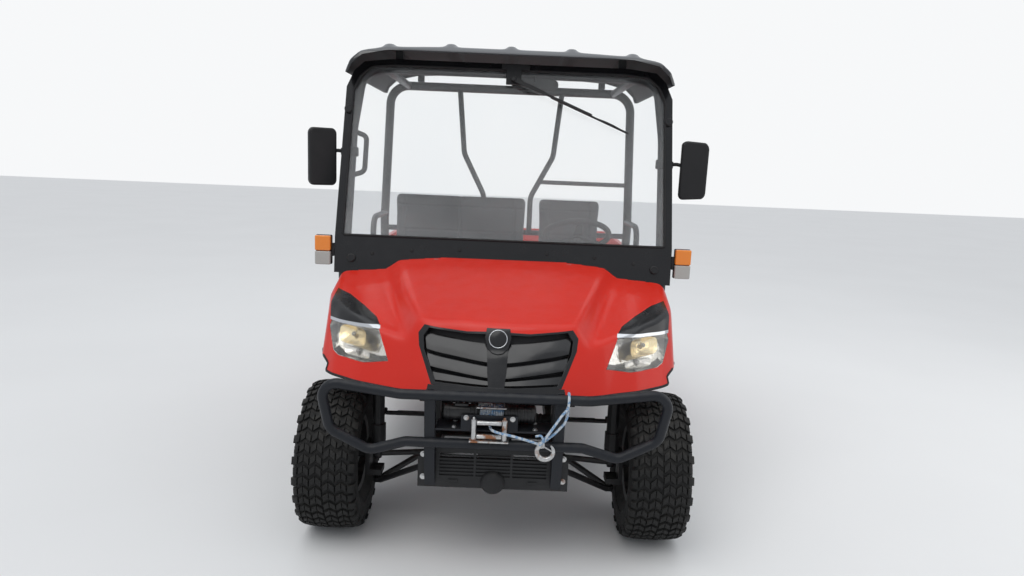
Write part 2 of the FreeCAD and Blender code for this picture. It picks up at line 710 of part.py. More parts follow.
# Cushions and backs of the bench and the driver's seat
SEATS = [(BENCH_X0, BENCH_X1), (DRIVER_X0, DRIVER_X1)]
top = SEAT_BASE_Z + FIT
back_y = CAGE_REAR_Y - 191
cushion_side = [
    (SEAT_BASE_FRONT_Y - 15, top),
    (SEAT_BASE_FRONT_Y - 25, top + 60),
    (SEAT_BASE_FRONT_Y - 5, top + CUSHION_T - 8),
    (SEAT_BASE_FRONT_Y + 30, top + CUSHION_T),
    (back_y - 14, top + CUSHION_T - 22),
    (back_y - 4, top),
]
back_side = [
    (back_y, top),
    (back_y - 3, top + CUSHION_T),
    (back_y + 53, BACK_TOP_Z - 30),
    (back_y + 71, BACK_TOP_Z),
    (back_y + 116, BACK_TOP_Z),
    (back_y + 136, BACK_TOP_Z - 40),
    (back_y + 113, top),
]
add("seat_cushions", Part.Compound([prism_yz(cushion_side, a, b) for a, b in SEATS]))
add("seat_backs", Part.Compound([prism_yz(back_side, a, b) for a, b in SEATS]))


# Roll cage: front hoop behind the windscreen, rear hoop with its braces, roof rails
def hoop_y(z):
    return screen_y(z) + SCREEN_BACK


KNEE_Z = SCREEN_LOW_Z
SHOULDER_Z = CAGE_TOP_Z - 285.0
hoop_half = [
    (CAGE_HALF_W, SILL_FRONT_Y + CAGE_R + 12, z1 - 20),
    (CAGE_HALF_W, hoop_y(KNEE_Z), KNEE_Z),
    (CAGE_HALF_W, hoop_y(SHOULDER_Z), SHOULDER_Z),
    (CAGE_TOP_HALF, hoop_y(CAGE_TOP_Z), CAGE_TOP_Z),
]
hoop_points = hoop_half + [(-x, y, z) for x, y, z in reversed(hoop_half)]
HOOP_BENDS = [200, 500, CAGE_BEND, CAGE_BEND, 500, 200]
below_floor = box(-SILL_HALF_W - 99, SILL_HALF_W + 99, FOOTWELL_MID_Y - 99, CAB_REAR_Y + 99, z1 - 90, z1)
front_hoop = tube(hoop_points, CAGE_R, HOOP_BENDS).cut(below_floor)
WAIST_Z = SEAT_BASE_Z + 416.0
rear_half = [
    (CAGE_HALF_W - 16, CAGE_REAR_Y, z1 - 20),
    (CAGE_HALF_W, CAGE_REAR_Y, WAIST_Z),
    (CAGE_TOP_HALF, CAGE_REAR_Y, CAGE_TOP_Z),
]
rear_points = rear_half + [(-x, y, z) for x, y, z in reversed(rear_half)]
rear_hoop = tube(rear_points, CAGE_R, [400, CAGE_BEND, CAGE_BEND, 400]).cut(below_floor)
rear_parts = [rear_hoop]
BAR_Z = SEAT_BASE_Z + 370.0
rear_parts.append(rod((-CAGE_HALF_W, CAGE_REAR_Y, BAR_Z), (CAGE_HALF_W, CAGE_REAR_Y, BAR_Z), BRACE_R))
BRACE_X = 140.0
BRACE = [(BRACE_X + 160, CAGE_TOP_Z), (BRACE_X + 125, BAR_Z + 458), (BRACE_X, BAR_Z + 215), (BRACE_X, BAR_Z)]
for s in (1, -1):
    rear_parts.append(tube([(s * x, CAGE_REAR_Y, z) for x, z in BRACE], BRACE_R, [120, 120]))
HEAD_BAR_Z = BAR_Z + 307.0
head_out = CAGE_HALF_W - CAGE_TAPER * (HEAD_BAR_Z - WAIST_Z) / (CAGE_TOP_Z - WAIST_Z)
rear_parts.append(rod((BRACE_X + 47, CAGE_REAR_Y, HEAD_BAR_Z), (head_out, CAGE_REAR_Y, HEAD_BAR_Z), BRACE_R - 3))
rear_cage = fuse(rear_parts)
add("rops_front_hoop", front_hoop)
add("rops_rear_hoop", rear_cage)
rail = rod((CAGE_RAIL_X, hoop_y(CAGE_TOP_Z), CAGE_TOP_Z), (CAGE_RAIL_X, CAGE_REAR_Y, CAGE_TOP_Z), CAGE_RAIL_R)
rails = [r.cut([front_hoop, rear_cage]) for r in (rail, mirrored(rail))]
add("rops_roof_rails", Part.Compound(rails))

# Hip guards at the door openings
HIP_Z = SEAT_BASE_Z + 460.0
HIP_Y = SEAT_BASE_FRONT_Y + 90.0
hip_x = CAGE_HALF_W - 34
hip = tube([(CAGE_HALF_W - 8, CAGE_REAR_Y, HIP_Z), (CAGE_HALF_W - 12, HIP_Y, HIP_Z), (hip_x, HIP_Y - 20, SEAT_BASE_Z - 12)], GUARD_R, [110])
hip = hip.cut([rear_cage, box(hip_x - 99, hip_x + 99, HIP_Y - 99, HIP_Y + 99, SEAT_BASE_Z - 60, SEAT_BASE_Z)])
add("hip_guards", pair(hip))
HANDLE_OUT = 68.0
handle_x = -CAGE_HALF_W + HANDLE_OUT
HANDLE = [
    (-CAGE_HALF_W, SHOULDER_Z - 17, 0),
    (handle_x, SHOULDER_Z - 40, 30),
    (handle_x, SHOULDER_Z - 205, 30),
    (-CAGE_HALF_W, SHOULDER_Z - 227, 0),
]
handle = tube([(x, hoop_y(z), z) for x, z, r in HANDLE], HANDLE_R, [r for x, z, r in HANDLE if r])
add("grab_handle", handle.cut(front_hoop))

# Roof: moulded shell with ribs, on four pads over the cage
ROOF_EAVE_Z = ROOF_TOP_Z - 141
ROOF_CUT_Z = ROOF_EAVE_Z - 45


def roof_section(t):
    # one half of the cross section, moved inward by the wall
    return [
        (-RIB_PITCH, ROOF_TOP_Z - t),
        (-2 * RIB_PITCH + t * 0.4, ROOF_TOP_Z - OUTER_DROP - t),
        (-ROOF_HALF_W + 72 + t * 0.8, ROOF_TOP_Z - 41 - t),
        (-ROOF_HALF_W + 22 + t, ROOF_TOP_Z - 86 - t),
        (-ROOF_HALF_W + t, ROOF_EAVE_Z),
    ]


def roof_profile(t):
    # side view: steep front edge, flat top, rounded rear edge
    return [
        (ROOF_FRONT_Y + t, ROOF_CUT_Z),
        (ROOF_FRONT_Y + t, ROOF_TOP_Z - 54 - t * 0.4),
        (ROOF_FRONT_Y + 30 + t * 0.6, ROOF_TOP_Z - 30 - t),
        (ROOF_FRONT_Y + 150 + t * 0.4, ROOF_TOP_Z + ROOF_CROWN - t * 1.2),
        (ROOF_REAR_Y - 80 - t * 0.4, ROOF_TOP_Z + ROOF_CROWN - t * 1.2),
        (ROOF_REAR_Y - t, ROOF_TOP_Z - 36 - t * 0.6),
        (ROOF_REAR_Y - t, ROOF_CUT_Z),
    ]


def roof_block(t):
    # ribbed cross section cut to the side view
    right = roof_section(t)
    blocks = [prism_xz([(-x, z) for x, z in reversed(right)] + right, ROOF_FRONT_Y, ROOF_REAR_Y)]
    w = RIB_W / 2
    for k in range(-2, 3):
        x = k * RIB_PITCH
        base = ROOF_TOP_Z - (OUTER_DROP if abs(k) == 2 else 0)
        low, high = base - 25, base + RIB_H - t
        rib = [(x - w + t, low), (x - w + RIB_SLOPE + t, high), (x + w - RIB_SLOPE - t, high), (x + w - t, low)]
        blocks.append(prism_xz(rib, ROOF_FRONT_Y, ROOF_REAR_Y))
    return fuse(blocks).common(prism_yz(roof_profile(t), -ROOF_HALF_W - 1, ROOF_HALF_W + 1))


roof = roof_block(0).cut(roof_block(ROOF_T))
skirt_half = ROOF_HALF_W - 120
for y in (ROOF_FRONT_Y, ROOF_REAR_Y):
    roof = roof.cut(box(-skirt_half, skirt_half, y - ROOF_T - 1, y + ROOF_T + 1, ROOF_CUT_Z, ROOF_TOP_Z - 62))
pad_top = ROOF_TOP_Z - OUTER_DROP
pads = []
for x in (-CAGE_RAIL_X + 70, CAGE_RAIL_X - 70):
    for y in (hoop_y(CAGE_TOP_Z), CAGE_REAR_Y):
        pads.append(box(x - PAD_HALF, x + PAD_HALF, y - PAD_HALF, y + PAD_HALF, CAGE_TOP_Z + CAGE_R + FIT, pad_top))
add("roof", fuse([roof] + pads))

# Windscreen frame with its lower panel, held to the hoop by knobs and spacers
FRAME_OUT = [
    (CAGE_HALF_W + 33, SCREEN_LOW_Z),
    (CAGE_HALF_W + 40, SCREEN_LOW_Z + PANEL_H - 11),
    (CAGE_HALF_W + 31, CAGE_TOP_Z - 98),
    (CAGE_HALF_W - 1, CAGE_TOP_Z - 20),
    (CAGE_HALF_W - 46, CAGE_TOP_Z + 23),
    (CAGE_HALF_W - 176, CAGE_TOP_Z + 39),
]
FRAME_IN = [
    (CAGE_HALF_W + 5, SCREEN_LOW_Z + PANEL_H),
    (CAGE_HALF_W - 4, CAGE_TOP_Z - 115),
    (CAGE_HALF_W - 30, CAGE_TOP_Z - 47),
    (CAGE_HALF_W - 84, CAGE_TOP_Z - 1),
    (CAGE_HALF_W - 196, CAGE_TOP_Z + 9),
]
out_loop = FRAME_OUT + [(-x, z) for x, z in reversed(FRAME_OUT)]
in_loop = FRAME_IN + [(-x, z) for x, z in reversed(FRAME_IN)]
screen_frame = screen_plate(out_loop, 0, SCREEN_FRAME_T).cut(screen_plate(in_loop, -1, SCREEN_FRAME_T + 1))
lean = math.atan(SCREEN_LEAN)
normal = V(0, -math.cos(lean), math.sin(lean))
KNOBS = [(CAGE_HALF_W + 13, CAGE_TOP_Z - 204), (CAGE_HALF_W - 42, SCREEN_LOW_Z + 65)]
bits = [screen_frame]
for x, z in KNOBS:
    for s in (1, -1):
        p = V(s * x, screen_y(z), z)
        bits.append(rod(tuple(p - normal * 2), tuple(p + normal * KNOB_H), KNOB_R))
SPACERS = [(CAGE_HALF_W, SCREEN_LOW_Z + 20), (CAGE_HALF_W, SHOULDER_Z)]
for x, z in SPACERS:
    for s in (1, -1):
        p = V(s * x, screen_y(z) + SCREEN_FRAME_T - 1, z)
        bits.append(rod(tuple(p), tuple(p - normal * (SCREEN_BACK - SPACER_LAP)), SPACER_R))
screen_frame = fuse(bits).cut(front_hoop)
solids = sorted(screen_frame.Solids, key=lambda s: -s.Volume)
add("windscreen_frame", solids[0])
glass_loop = [(x - FIT if x > 0 else x + FIT, z + (FIT if z < KNEE_Z + PANEL_H + 1 else -2 * FIT)) for x, z in in_loop]
add("windscreen", screen_plate(glass_loop, GLASS_IN, GLASS_IN + SCREEN_T))

# Wiper: motor box on the frame's top edge, arm with its blade
MOTOR_T = 22.0
MOTOR_TOP = CAGE_TOP_Z + 35
MOTOR_MID = CAGE_TOP_Z + 12
WIPER_SHAFT_R = 5.0
motor = screen_plate([(-42, MOTOR_MID), (90, MOTOR_MID), (90, MOTOR_TOP), (-42, MOTOR_TOP)], -MOTOR_T, 0)
motor = motor.fuse(screen_plate([(-20, MOTOR_MID - 72), (52, MOTOR_MID - 72), (52, MOTOR_MID), (-20, MOTOR_MID)], -MOTOR_T, 0))
PIVOT = (16.0, MOTOR_MID - 51)
pivot_p = V(PIVOT[0], screen_y(PIVOT[1]) - MOTOR_T + 2, PIVOT[1])
shaft = rod(tuple(pivot_p), tuple(pivot_p + normal * 16), WIPER_SHAFT_R)
add("wiper_motor", motor.fuse(shaft).removeSplitter())
WIPER_REACH = (544.0, -226.0)
BLADE_L = 400.0
dx, dz = WIPER_REACH
length = math.hypot(dx, dz)
ux, uz = dx / length, dz / length
px, pz = -uz, ux


def along_arm(s, side):
    return (PIVOT[0] + ux * s + px * side, PIVOT[1] + uz * s + pz * side)


ARM_OUT, BLADE_OUT = -33.0, -27.0
arm = screen_plate([along_arm(-14, -9), along_arm(-14, 9), along_arm(length - 170, 5), along_arm(length - 170, -5)], ARM_OUT, BLADE_OUT)
blade = screen_plate([along_arm(length - BLADE_L, -7), along_arm(length - BLADE_L, 7), along_arm(length, 7), along_arm(length, -7)], BLADE_OUT, -8)
eye = hole(tuple(pivot_p - normal * 2), tuple(pivot_p + normal * 30), WIPER_SHAFT_R + FIT)
add("wiper_arm", fuse([arm, blade]).cut(eye))

# Mirrors on clamps round the front hoop
MIRROR_Z = SHOULDER_Z - 115.0
MIRROR_TURN = 32.0
mirror_x = CAGE_HALF_W + 132
cy = hoop_y(MIRROR_Z)
clamp_ring = box(CAGE_HALF_W - 34, CAGE_HALF_W + 46, cy - 28, cy + 34, MIRROR_Z - 20, MIRROR_Z + 20)
stalk_r = 8.0
arm = rod((CAGE_HALF_W + 40, cy, MIRROR_Z), (mirror_x, cy - 20, MIRROR_Z - 10), stalk_r)
LEFT_HEAD = [(-56, -145), (-42, -160), (57, -153), (70, -135), (72, 85), (57, 107), (-38, 113), (-56, 99)]
RIGHT_HEAD = [(-68, -145), (-53, -160), (47, -160), (62, -145), (62, 90), (47, 105), (-53, 105), (-68, 90)]
head = prism_xz([(mirror_x + x, MIRROR_Z + z) for x, z in LEFT_HEAD], cy - 50, cy - 16)
left_mirror = fuse([clamp_ring, arm, head]).cut(front_hoop)
arm = rod((-CAGE_HALF_W - 40, cy, MIRROR_Z), (-mirror_x + 18, cy - 20, MIRROR_Z - 10), stalk_r)
head = prism_xz([(-mirror_x - x, MIRROR_Z + z) for x, z in RIGHT_HEAD], cy - 56, cy - 14)
head.rotate(V(-mirror_x + 3, cy - 35, MIRROR_Z), V(0, 0, 1), MIRROR_TURN)
right_mirror = fuse([mirrored(clamp_ring), arm, head]).cut(front_hoop)
big = [max(m.Solids, key=lambda s: s.Volume) for m in (left_mirror, right_mirror)]
add("mirrors", Part.Compound(big))

# Side lamps beside the lower panel, and tail lamps on the rear plate
LAMP_H = 135.0
LAMP_W = 73.0
lamp_mid = SCREEN_LOW_Z + 98.5
lamp_y = screen_y(SCREEN_LOW_Z + 100)
lamp_x = CAGE_HALF_W + 50
lamp = fuse(
    [
        box(lamp_x, lamp_x + LAMP_W, lamp_y - 26, lamp_y + 20, lamp_mid - LAMP_H / 2, lamp_mid + LAMP_H / 2),
        box(CAGE_HALF_W + 39.1, lamp_x, lamp_y - 4, lamp_y + 12, lamp_mid - 28.5, lamp_mid + 31.5),
    ]
)
add("side_lamps", pair(lamp))
TAIL_W = 80.0
tail_x = REAR_PLATE_HALF + 20
add("tail_lamps", pair(box(tail_x, tail_x + TAIL_W, RAIL_REAR_Y, RAIL_REAR_Y + 26, RAIL_Z + 5, RAIL_Z + 65)))

# Engine, transaxle and drive shafts
ENGINE_HALF = 185.0
ENGINE_FRONT_Y = -60.0
ENGINE_REAR_Y = CAGE_REAR_Y - 120
engine_low, engine_mid = RAIL_Z - 25, SEAT_BASE_Z - 160
engine = [
    box(-ENGINE_HALF, ENGINE_HALF, ENGINE_FRONT_Y, ENGINE_REAR_Y, engine_low, engine_mid),
    box(-ENGINE_HALF + 35, ENGINE_HALF - 35, ENGINE_FRONT_Y + 20, ENGINE_REAR_Y - 20, engine_mid, engine_mid + 100),
]
foot_half = rail_out - 13
for y in (ENGINE_FRONT_Y + 20, ENGINE_REAR_Y - 80):
    for s in (1, -1):
        a, b = sorted((s * ENGINE_HALF, s * foot_half))
        engine.append(box(a, b, y, y + 60, RAIL_TOP, RAIL_TOP + 16))
add("engine", fuse(engine))
TRANS_MID_Y = REAR_AXLE_Y - 310
trans = [
    box(-120, 120, ENGINE_REAR_Y, TRANS_MID_Y, RAIL_Z - 30, RAIL_Z + 160),
    box(-130, 130, TRANS_MID_Y, REAR_AXLE_Y + 80, AXLE_Z - 18, AXLE_Z + 170),
]
add("transaxle", fuse(trans))
add("prop_shaft", rod((0, FRONT_AXLE_Y + 80, DIFF_Z), (0, ENGINE_FRONT_Y, DIFF_Z), PROP_R))
diff = [
    rod((-70, FRONT_AXLE_Y, DIFF_Z), (70, FRONT_AXLE_Y, DIFF_Z), DIFF_R),
    rod((0, FRONT_AXLE_Y, DIFF_Z), (0, FRONT_AXLE_Y + 80, DIFF_Z), 34),
    box(-60, 60, FRONT_AXLE_Y - 30, FRONT_AXLE_Y + 30, DIFF_Z, RAIL_TOP),
]
diff.append(box(-rail_in, rail_in, FRONT_AXLE_Y - 30, FRONT_AXLE_Y + 30, RAIL_TOP - 20, RAIL_TOP - 12))
add("front_final_drive", fuse(diff))
half = rod((70, FRONT_AXLE_Y, DIFF_Z - 2), (KINGPIN_X, FRONT_AXLE_Y, AXLE_Z), SHAFT_R)
cv = turned([(-22, 0), (-12, CV_R - 4), (12, CV_R - 4), (22, 12), (22, 0)], 10, (KINGPIN_X, FRONT_AXLE_Y, AXLE_Z))
half = half.fuse(cv)
half = half.cut(fuse(diff))
rear_half_shaft = rod((125, REAR_AXLE_Y, AXLE_Z + 40), (CARRIER_X + 8, REAR_AXLE_Y, AXLE_Z), SHAFT_R)

# Rear hub carriers, arms and struts
hub_face = HALF_TRACK - HUB_LEN
carrier = fuse(
    [
        box(CARRIER_X, CARRIER_X + 30, REAR_AXLE_Y - 55, REAR_AXLE_Y + 55, AXLE_Z - 70, AXLE_Z + 80),
        rod((CARRIER_X + 30, REAR_AXLE_Y, AXLE_Z), (hub_face, REAR_AXLE_Y, AXLE_Z), 50),
        rod((hub_face, REAR_AXLE_Y, AXLE_Z), (HALF_TRACK + 10, REAR_AXLE_Y, AXLE_Z), SPINDLE_R, SPINDLE_SIDES),
    ]
)
add("rear_hubs", pair(carrier))
rear_half_shaft = rear_half_shaft.cut([carrier, fuse(trans)])
rear_half_shaft = max(rear_half_shaft.Solids, key=lambda s: s.Volume)
shafts = [half, mirrored(half), rear_half_shaft, mirrored(rear_half_shaft)]
add("half_shafts", Part.Compound(shafts))


def control_arm(axle_y, end_x, end_z):
    # two legs from the bracket pins to the outer joint
    eye_height = RAIL_Z - 30
    legs = []
    for s in (1, -1):
        legs.append(rod((ARM_EYE_X, axle_y + s * 100, eye_height), (end_x - 8, axle_y + s * 12, end_z), LEG_R))
        legs.append(rod((ARM_EYE_X, axle_y + s * 80, eye_height), (ARM_EYE_X, axle_y + s * 112, eye_height), LEG_R + 2))
    return legs


ball_z = LOWER_EYE_Z - FIT - 40
front_arm = control_arm(FRONT_AXLE_Y, KINGPIN_X, ball_z + 8)
front_arm.append(rod((KINGPIN_X, FRONT_AXLE_Y, ball_z), (KINGPIN_X, FRONT_AXLE_Y, ball_z + 18), 22))
front_arm.append(rod((KINGPIN_X, FRONT_AXLE_Y, ball_z + 10), (KINGPIN_X, FRONT_AXLE_Y, LOWER_EYE_Z - FIT), 10))
front_arm = fuse(front_arm)
rear_end_z = AXLE_Z - 48
rear_arm = control_arm(REAR_AXLE_Y, CARRIER_X, rear_end_z)
rear_arm.append(box(CARRIER_X - 24, CARRIER_X, REAR_AXLE_Y - 40, REAR_AXLE_Y + 40, rear_end_z - 16, rear_end_z + 16))
rear_arm = fuse(rear_arm).cut(carrier)
add("front_arms", pair(front_arm))
add("rear_arms", pair(rear_arm))


def spring_profile(r, length, turns):
    pts = [(0, DAMPER_R + 4)]
    step = length / turns
    for k in range(turns):
        pts += [(k * step, r - 9), ((k + 0.5) * step, r)]
    pts += [(length, r - 9), (length, DAMPER_R + 4)]
    return pts


spring_z = STRUT_TOP_Z + 8 + FIT
spring = turned(spring_profile(SPRING_R, TOWER_Z - spring_z, SPRING_TURNS), SPRING_SIDES, (0, 0, 0))
spring.rotate(V(0, 0, 0), V(0, 1, 0), -90)
spring.translate(V(KINGPIN_X, FRONT_AXLE_Y, spring_z))
damper = rod((KINGPIN_X, FRONT_AXLE_Y, STRUT_TOP_Z - 92), (KINGPIN_X, FRONT_AXLE_Y, TOWER_Z + PLATE_T + 16), DAMPER_R)
nut = rod((KINGPIN_X, FRONT_AXLE_Y, TOWER_Z + PLATE_T), (KINGPIN_X, FRONT_AXLE_Y, TOWER_Z + PLATE_T + 12), 18)
seat = rod((KINGPIN_X, FRONT_AXLE_Y, TOWER_Z - 8), (KINGPIN_X, FRONT_AXLE_Y, TOWER_Z), SPRING_R - 6)
front_strut = fuse([spring, damper, nut, seat])
add("front_struts", pair(front_strut))
strut_y = REAR_AXLE_Y - 120
strut_low = V(CARRIER_X - 42, strut_y, AXLE_Z - 10)
strut_high = V(rail_out + 35, strut_y, BED_RAIL_Z + BED_RAIL_H / 2)
strut_dir = strut_high - strut_low
rear_strut = [
    rod(tuple(strut_low), tuple(strut_low + strut_dir * 0.55), 24),
    rod(tuple(strut_low), tuple(strut_high), 11),
    box(rail_out, rail_out + 55, strut_y - 20, strut_y + 20, BED_RAIL_Z, BED_RAIL_Z + BED_RAIL_H),
]
coil = turned(spring_profile(SPRING_R - 4, strut_dir.Length * 0.62, SPRING_TURNS), SPRING_SIDES, (0, 0, 0))
turn = FreeCAD.Rotation(V(1, 0, 0), strut_dir)
coil.Placement = FreeCAD.Placement(strut_low + strut_dir * 0.3, turn)
rear_strut.append(coil)
rear_strut.append(box(CARRIER_X - 67, CARRIER_X, strut_y - 20, REAR_AXLE_Y - 55, AXLE_Z - 20, AXLE_Z + 5))
rear_strut = fuse(rear_strut).cut([rear_arm])
rear_strut = max(rear_strut.Solids, key=lambda s: s.Volume)
add("rear_struts", pair(rear_strut))

# Steering rack housing and the bar that slides in it
bar_y = FRONT_AXLE_Y + ARM_L
rack = fuse(
    [
        rod((-170, bar_y, TIE_BAR_Z), (170, bar_y, TIE_BAR_Z), TIE_BAR_R + 10),
        box(-rail_in - 20, rail_in + 20, bar_y - 15, bar_y + 15, RAIL_TOP, RAIL_TOP + 6),
    ]
)
rack = rack.cut(rod((-300, bar_y, TIE_BAR_Z), (300, bar_y, TIE_BAR_Z), TIE_BAR_R + FIT, sides_for(TIE_BAR_R)))
add("steering_rack", rack)
bar = [rod((-KINGPIN_X + 10, bar_y, TIE_BAR_Z), (KINGPIN_X - 10, bar_y, TIE_BAR_Z), TIE_BAR_R)]
eye_z = TIE_BAR_Z - TIE_EYE_T / 2
for s in (1, -1):
    bar.append(rod((s * KINGPIN_X, bar_y, eye_z), (s * KINGPIN_X, bar_y, eye_z + TIE_EYE_T), TIE_EYE_R))
tie = fuse(bar)
eye_top = TIE_BAR_Z + TIE_EYE_T / 2
for s in (1, -1):
    cap_box = box(-60, 60, bar_y - 30, bar_y + 30, eye_top, eye_top + 30)
    cap_box.translate(V(s * KINGPIN_X, 0, 0))
    tie = tie.cut(cap_box)
add("tie_bar", tie)

# Knuckles: carrier with the spindle, strut body and steering arm
arm_z = eye_top + FIT
fork_z = AXLE_Z + 56
knuckle = fuse(
    [
        box(KINGPIN_X - 24, hub_face, FRONT_AXLE_Y - 38, FRONT_AXLE_Y + 38, fork_z - 24, fork_z),
        box(KINGPIN_X - 20, hub_face, FRONT_AXLE_Y - 38, FRONT_AXLE_Y + 38, LOWER_EYE_Z, LOWER_EYE_Z + 25),
        box(hub_face - 18, hub_face, FRONT_AXLE_Y - 38, FRONT_AXLE_Y + 38, LOWER_EYE_Z, fork_z),
        rod((hub_face, FRONT_AXLE_Y, AXLE_Z), (HALF_TRACK + 10, FRONT_AXLE_Y, AXLE_Z), SPINDLE_R, SPINDLE_SIDES),
        rod((KINGPIN_X, FRONT_AXLE_Y, fork_z), (KINGPIN_X, FRONT_AXLE_Y, STRUT_TOP_Z), STRUT_R),
        rod((KINGPIN_X, FRONT_AXLE_Y, fork_z), (KINGPIN_X, FRONT_AXLE_Y, fork_z + 80), STRUT_R + 6),
        rod((KINGPIN_X, FRONT_AXLE_Y, STRUT_TOP_Z), (KINGPIN_X, FRONT_AXLE_Y, STRUT_TOP_Z + 8), SPRING_R + 2),
        box(KINGPIN_X - 13, KINGPIN_X + 13, FRONT_AXLE_Y, bar_y, arm_z, arm_z + TIE_EYE_T),
        rod((KINGPIN_X, bar_y, arm_z), (KINGPIN_X, bar_y, arm_z + TIE_EYE_T), TIE_EYE_R),
    ]
)
knuckle = knuckle.cut(hole((KINGPIN_X, FRONT_AXLE_Y, STRUT_TOP_Z - 102), (KINGPIN_X, FRONT_AXLE_Y, STRUT_TOP_Z + 68), DAMPER_R + FIT))
add("knuckle_left", knuckle)
add("knuckle_right", mirrored(knuckle))

# Steering column and wheel
tilt = math.radians(WHEEL_TILT)
axis = V(0, math.sin(tilt), math.cos(tilt))
hub = V(WHEEL_X, WHEEL_Y, WHEEL_Z)
column = rod(tuple(hub - axis * 190), tuple(hub - axis * 20), 28)
column = column.cut(hole(tuple(hub - axis * 80), tuple(hub), 9 + FIT))
column = column.cut(prism_yz(dash_side, -DASH_HALF, DASH_HALF))
add("steering_column", max(column.Solids, key=lambda s: s.Volume))
section = [
    (WHEEL_RIM_R * math.cos(math.radians(60 * k)), WHEEL_R - WHEEL_RIM_R + WHEEL_RIM_R * math.sin(math.radians(60 * k)))
    for k in range(6)
]
rim_ring = turned(section, 20, (0, 0, 0))
spokes = [
    box(-20, -8, -18, 18, 20, WHEEL_R - WHEEL_RIM_R),
    rod((-26, 0, 0), (0, 0, 0), 38),
]
for turn in (120, -120):
    s = box(-20, -8, -14, 14, 20, WHEEL_R - WHEEL_RIM_R)
    s.rotate(V(0, 0, 0), V(1, 0, 0), turn)
    spokes.append(s)
shaft = rod((-76, 0, 0), (-6, 0, 0), 9)
joined = [rim_ring, shaft] + spokes
hand_wheel = fuse(joined)
hand_wheel.Placement = FreeCAD.Placement(hub + axis * 8, FreeCAD.Rotation(V(1, 0, 0), axis))
add("steering_wheel", hand_wheel)

# Bonnet: one moulding with wings and a raised middle, hollow below
LOWER = [
    # x, distance behind the nose, shares of the wall thickness inward along x and y
    (0, 0, 0, 1),
    (243, 21, 0.1, 1),
    (411, 95, 0.3, 1),
    (560, 169, 0.4, 1),
    (665, 249, 0.6, 0.9),
    (732, 335, 1, 0.5),
    (752, 435, 1, 0.2),
    (752, 745, 1, 0),
]
UPPER = [
    (0, 145, 0, 1),
    (243, 157, 0.1, 1),
    (411, 223, 0.3, 1),
    (560, 313, 0.4, 1),
    (655, 393, 0.6, 0.9),
    (716, 465, 1, 0.5),
    (738, 545, 1, 0.2),
    (745, 745, 1, 0),
]
LOW_Z = GUARD_Z - 36
HIGH_Z = LOW_Z + 296
BONNET_TOP_Z = HIGH_Z + 160
TOP_SLOPE = 0.32
NOSE_Y = FRONT_AXLE_Y - 405
WING_HALF_W = CAGE_HALF_W + 16


# the curves of the bonnet are drawn for wings 752 wide from the middle
WIDE = WING_HALF_W / 752


def outline(table, inset):
    half = [(x * WIDE - a * inset, NOSE_Y + y + b * inset) for x, y, a, b in table]
    loop = half + [(-x, y) for x, y in reversed(half[1:])]
    return loop


def ruled_block(z0, z1, inset):
    # side walls follow straight lines from the lower to the upper outline, carried on to z0 and z1
    low, high = outline(LOWER, inset), outline(UPPER, inset)
    rings = []
    for z in (z0, z1):
        k = (z - LOW_Z) / (HIGH_Z - LOW_Z)
        pts = [V(a[0] + (b[0] - a[0]) * k, a[1] + (b[1] - a[1]) * k, z) for a, b in zip(low, high)]
        rings.append(pts)
    return skin(rings)


def sloped_top(section, y0, y1, slope):
    # section in XZ given near the rear edge, sinking towards the front
    rings = []
    for y in (y0, y1):
        dz = (y - NOSE_Y - 725) * slope
        pts = [V(x * WIDE, y, (HIGH_Z + z + dz) if z > -300 else HIGH_Z + z) for x, z in section]
        rings.append(pts)
    return skin(rings)


def bonnet_solid(inset):
    i = inset
    rear_y = NOSE_Y + 755
    half = [(566, 70 - i), (715, 58 - i), (740 - i, 42 - i), (752 - i, 0)]
    section = half + [(790, -400), (-790, -400)] + [(-x, z) for x, z in reversed(half)]
    base = ruled_block(LOW_Z - (1 if i else 0), BONNET_TOP_Z, i).common(sloped_top(section, NOSE_Y - 55, rear_y, TOP_SLOPE))
    # raised middle, from the step at the rear edge to the grille's upper corners
    rear = [(300 - i, 142.7 - i), (498 - i, 124.7 - i), (572 - i, 74.7 - i), (572 - i, -91.3)]
    front = [(170 - i, -50 - i), (280 - i, -56 - i), (322 - i, -120 - i), (322 - i, -240)]
    rings = []
    for y, table in ((rear_y, rear), (NOSE_Y + 95, front)):
        loop = table + [(-x, z) for x, z in reversed(table)]
        rings.append([V(x * WIDE, y, HIGH_Z + z) for x, z in loop])
    raised = skin(rings).common(ruled_block(LOW_Z, BONNET_TOP_Z, i))
    return base.fuse(raised)


outer = bonnet_solid(0)
inner_b = bonnet_solid(BONNET_T)
gap_y = BONNET_REAR_GAP
rear_line = [(screen_y(z) - gap_y, z) for z in (LOW_Z - 104, BONNET_TOP_Z + 90)]
past = WING_HALF_W + 150
rear_cut = prism_yz(rear_line + [(NOSE_Y + 1145, BONNET_TOP_Z + 90), (NOSE_Y + 1145, LOW_Z - 104)], -past, past)
shell = outer.cut(inner_b).cut(rear_cut)
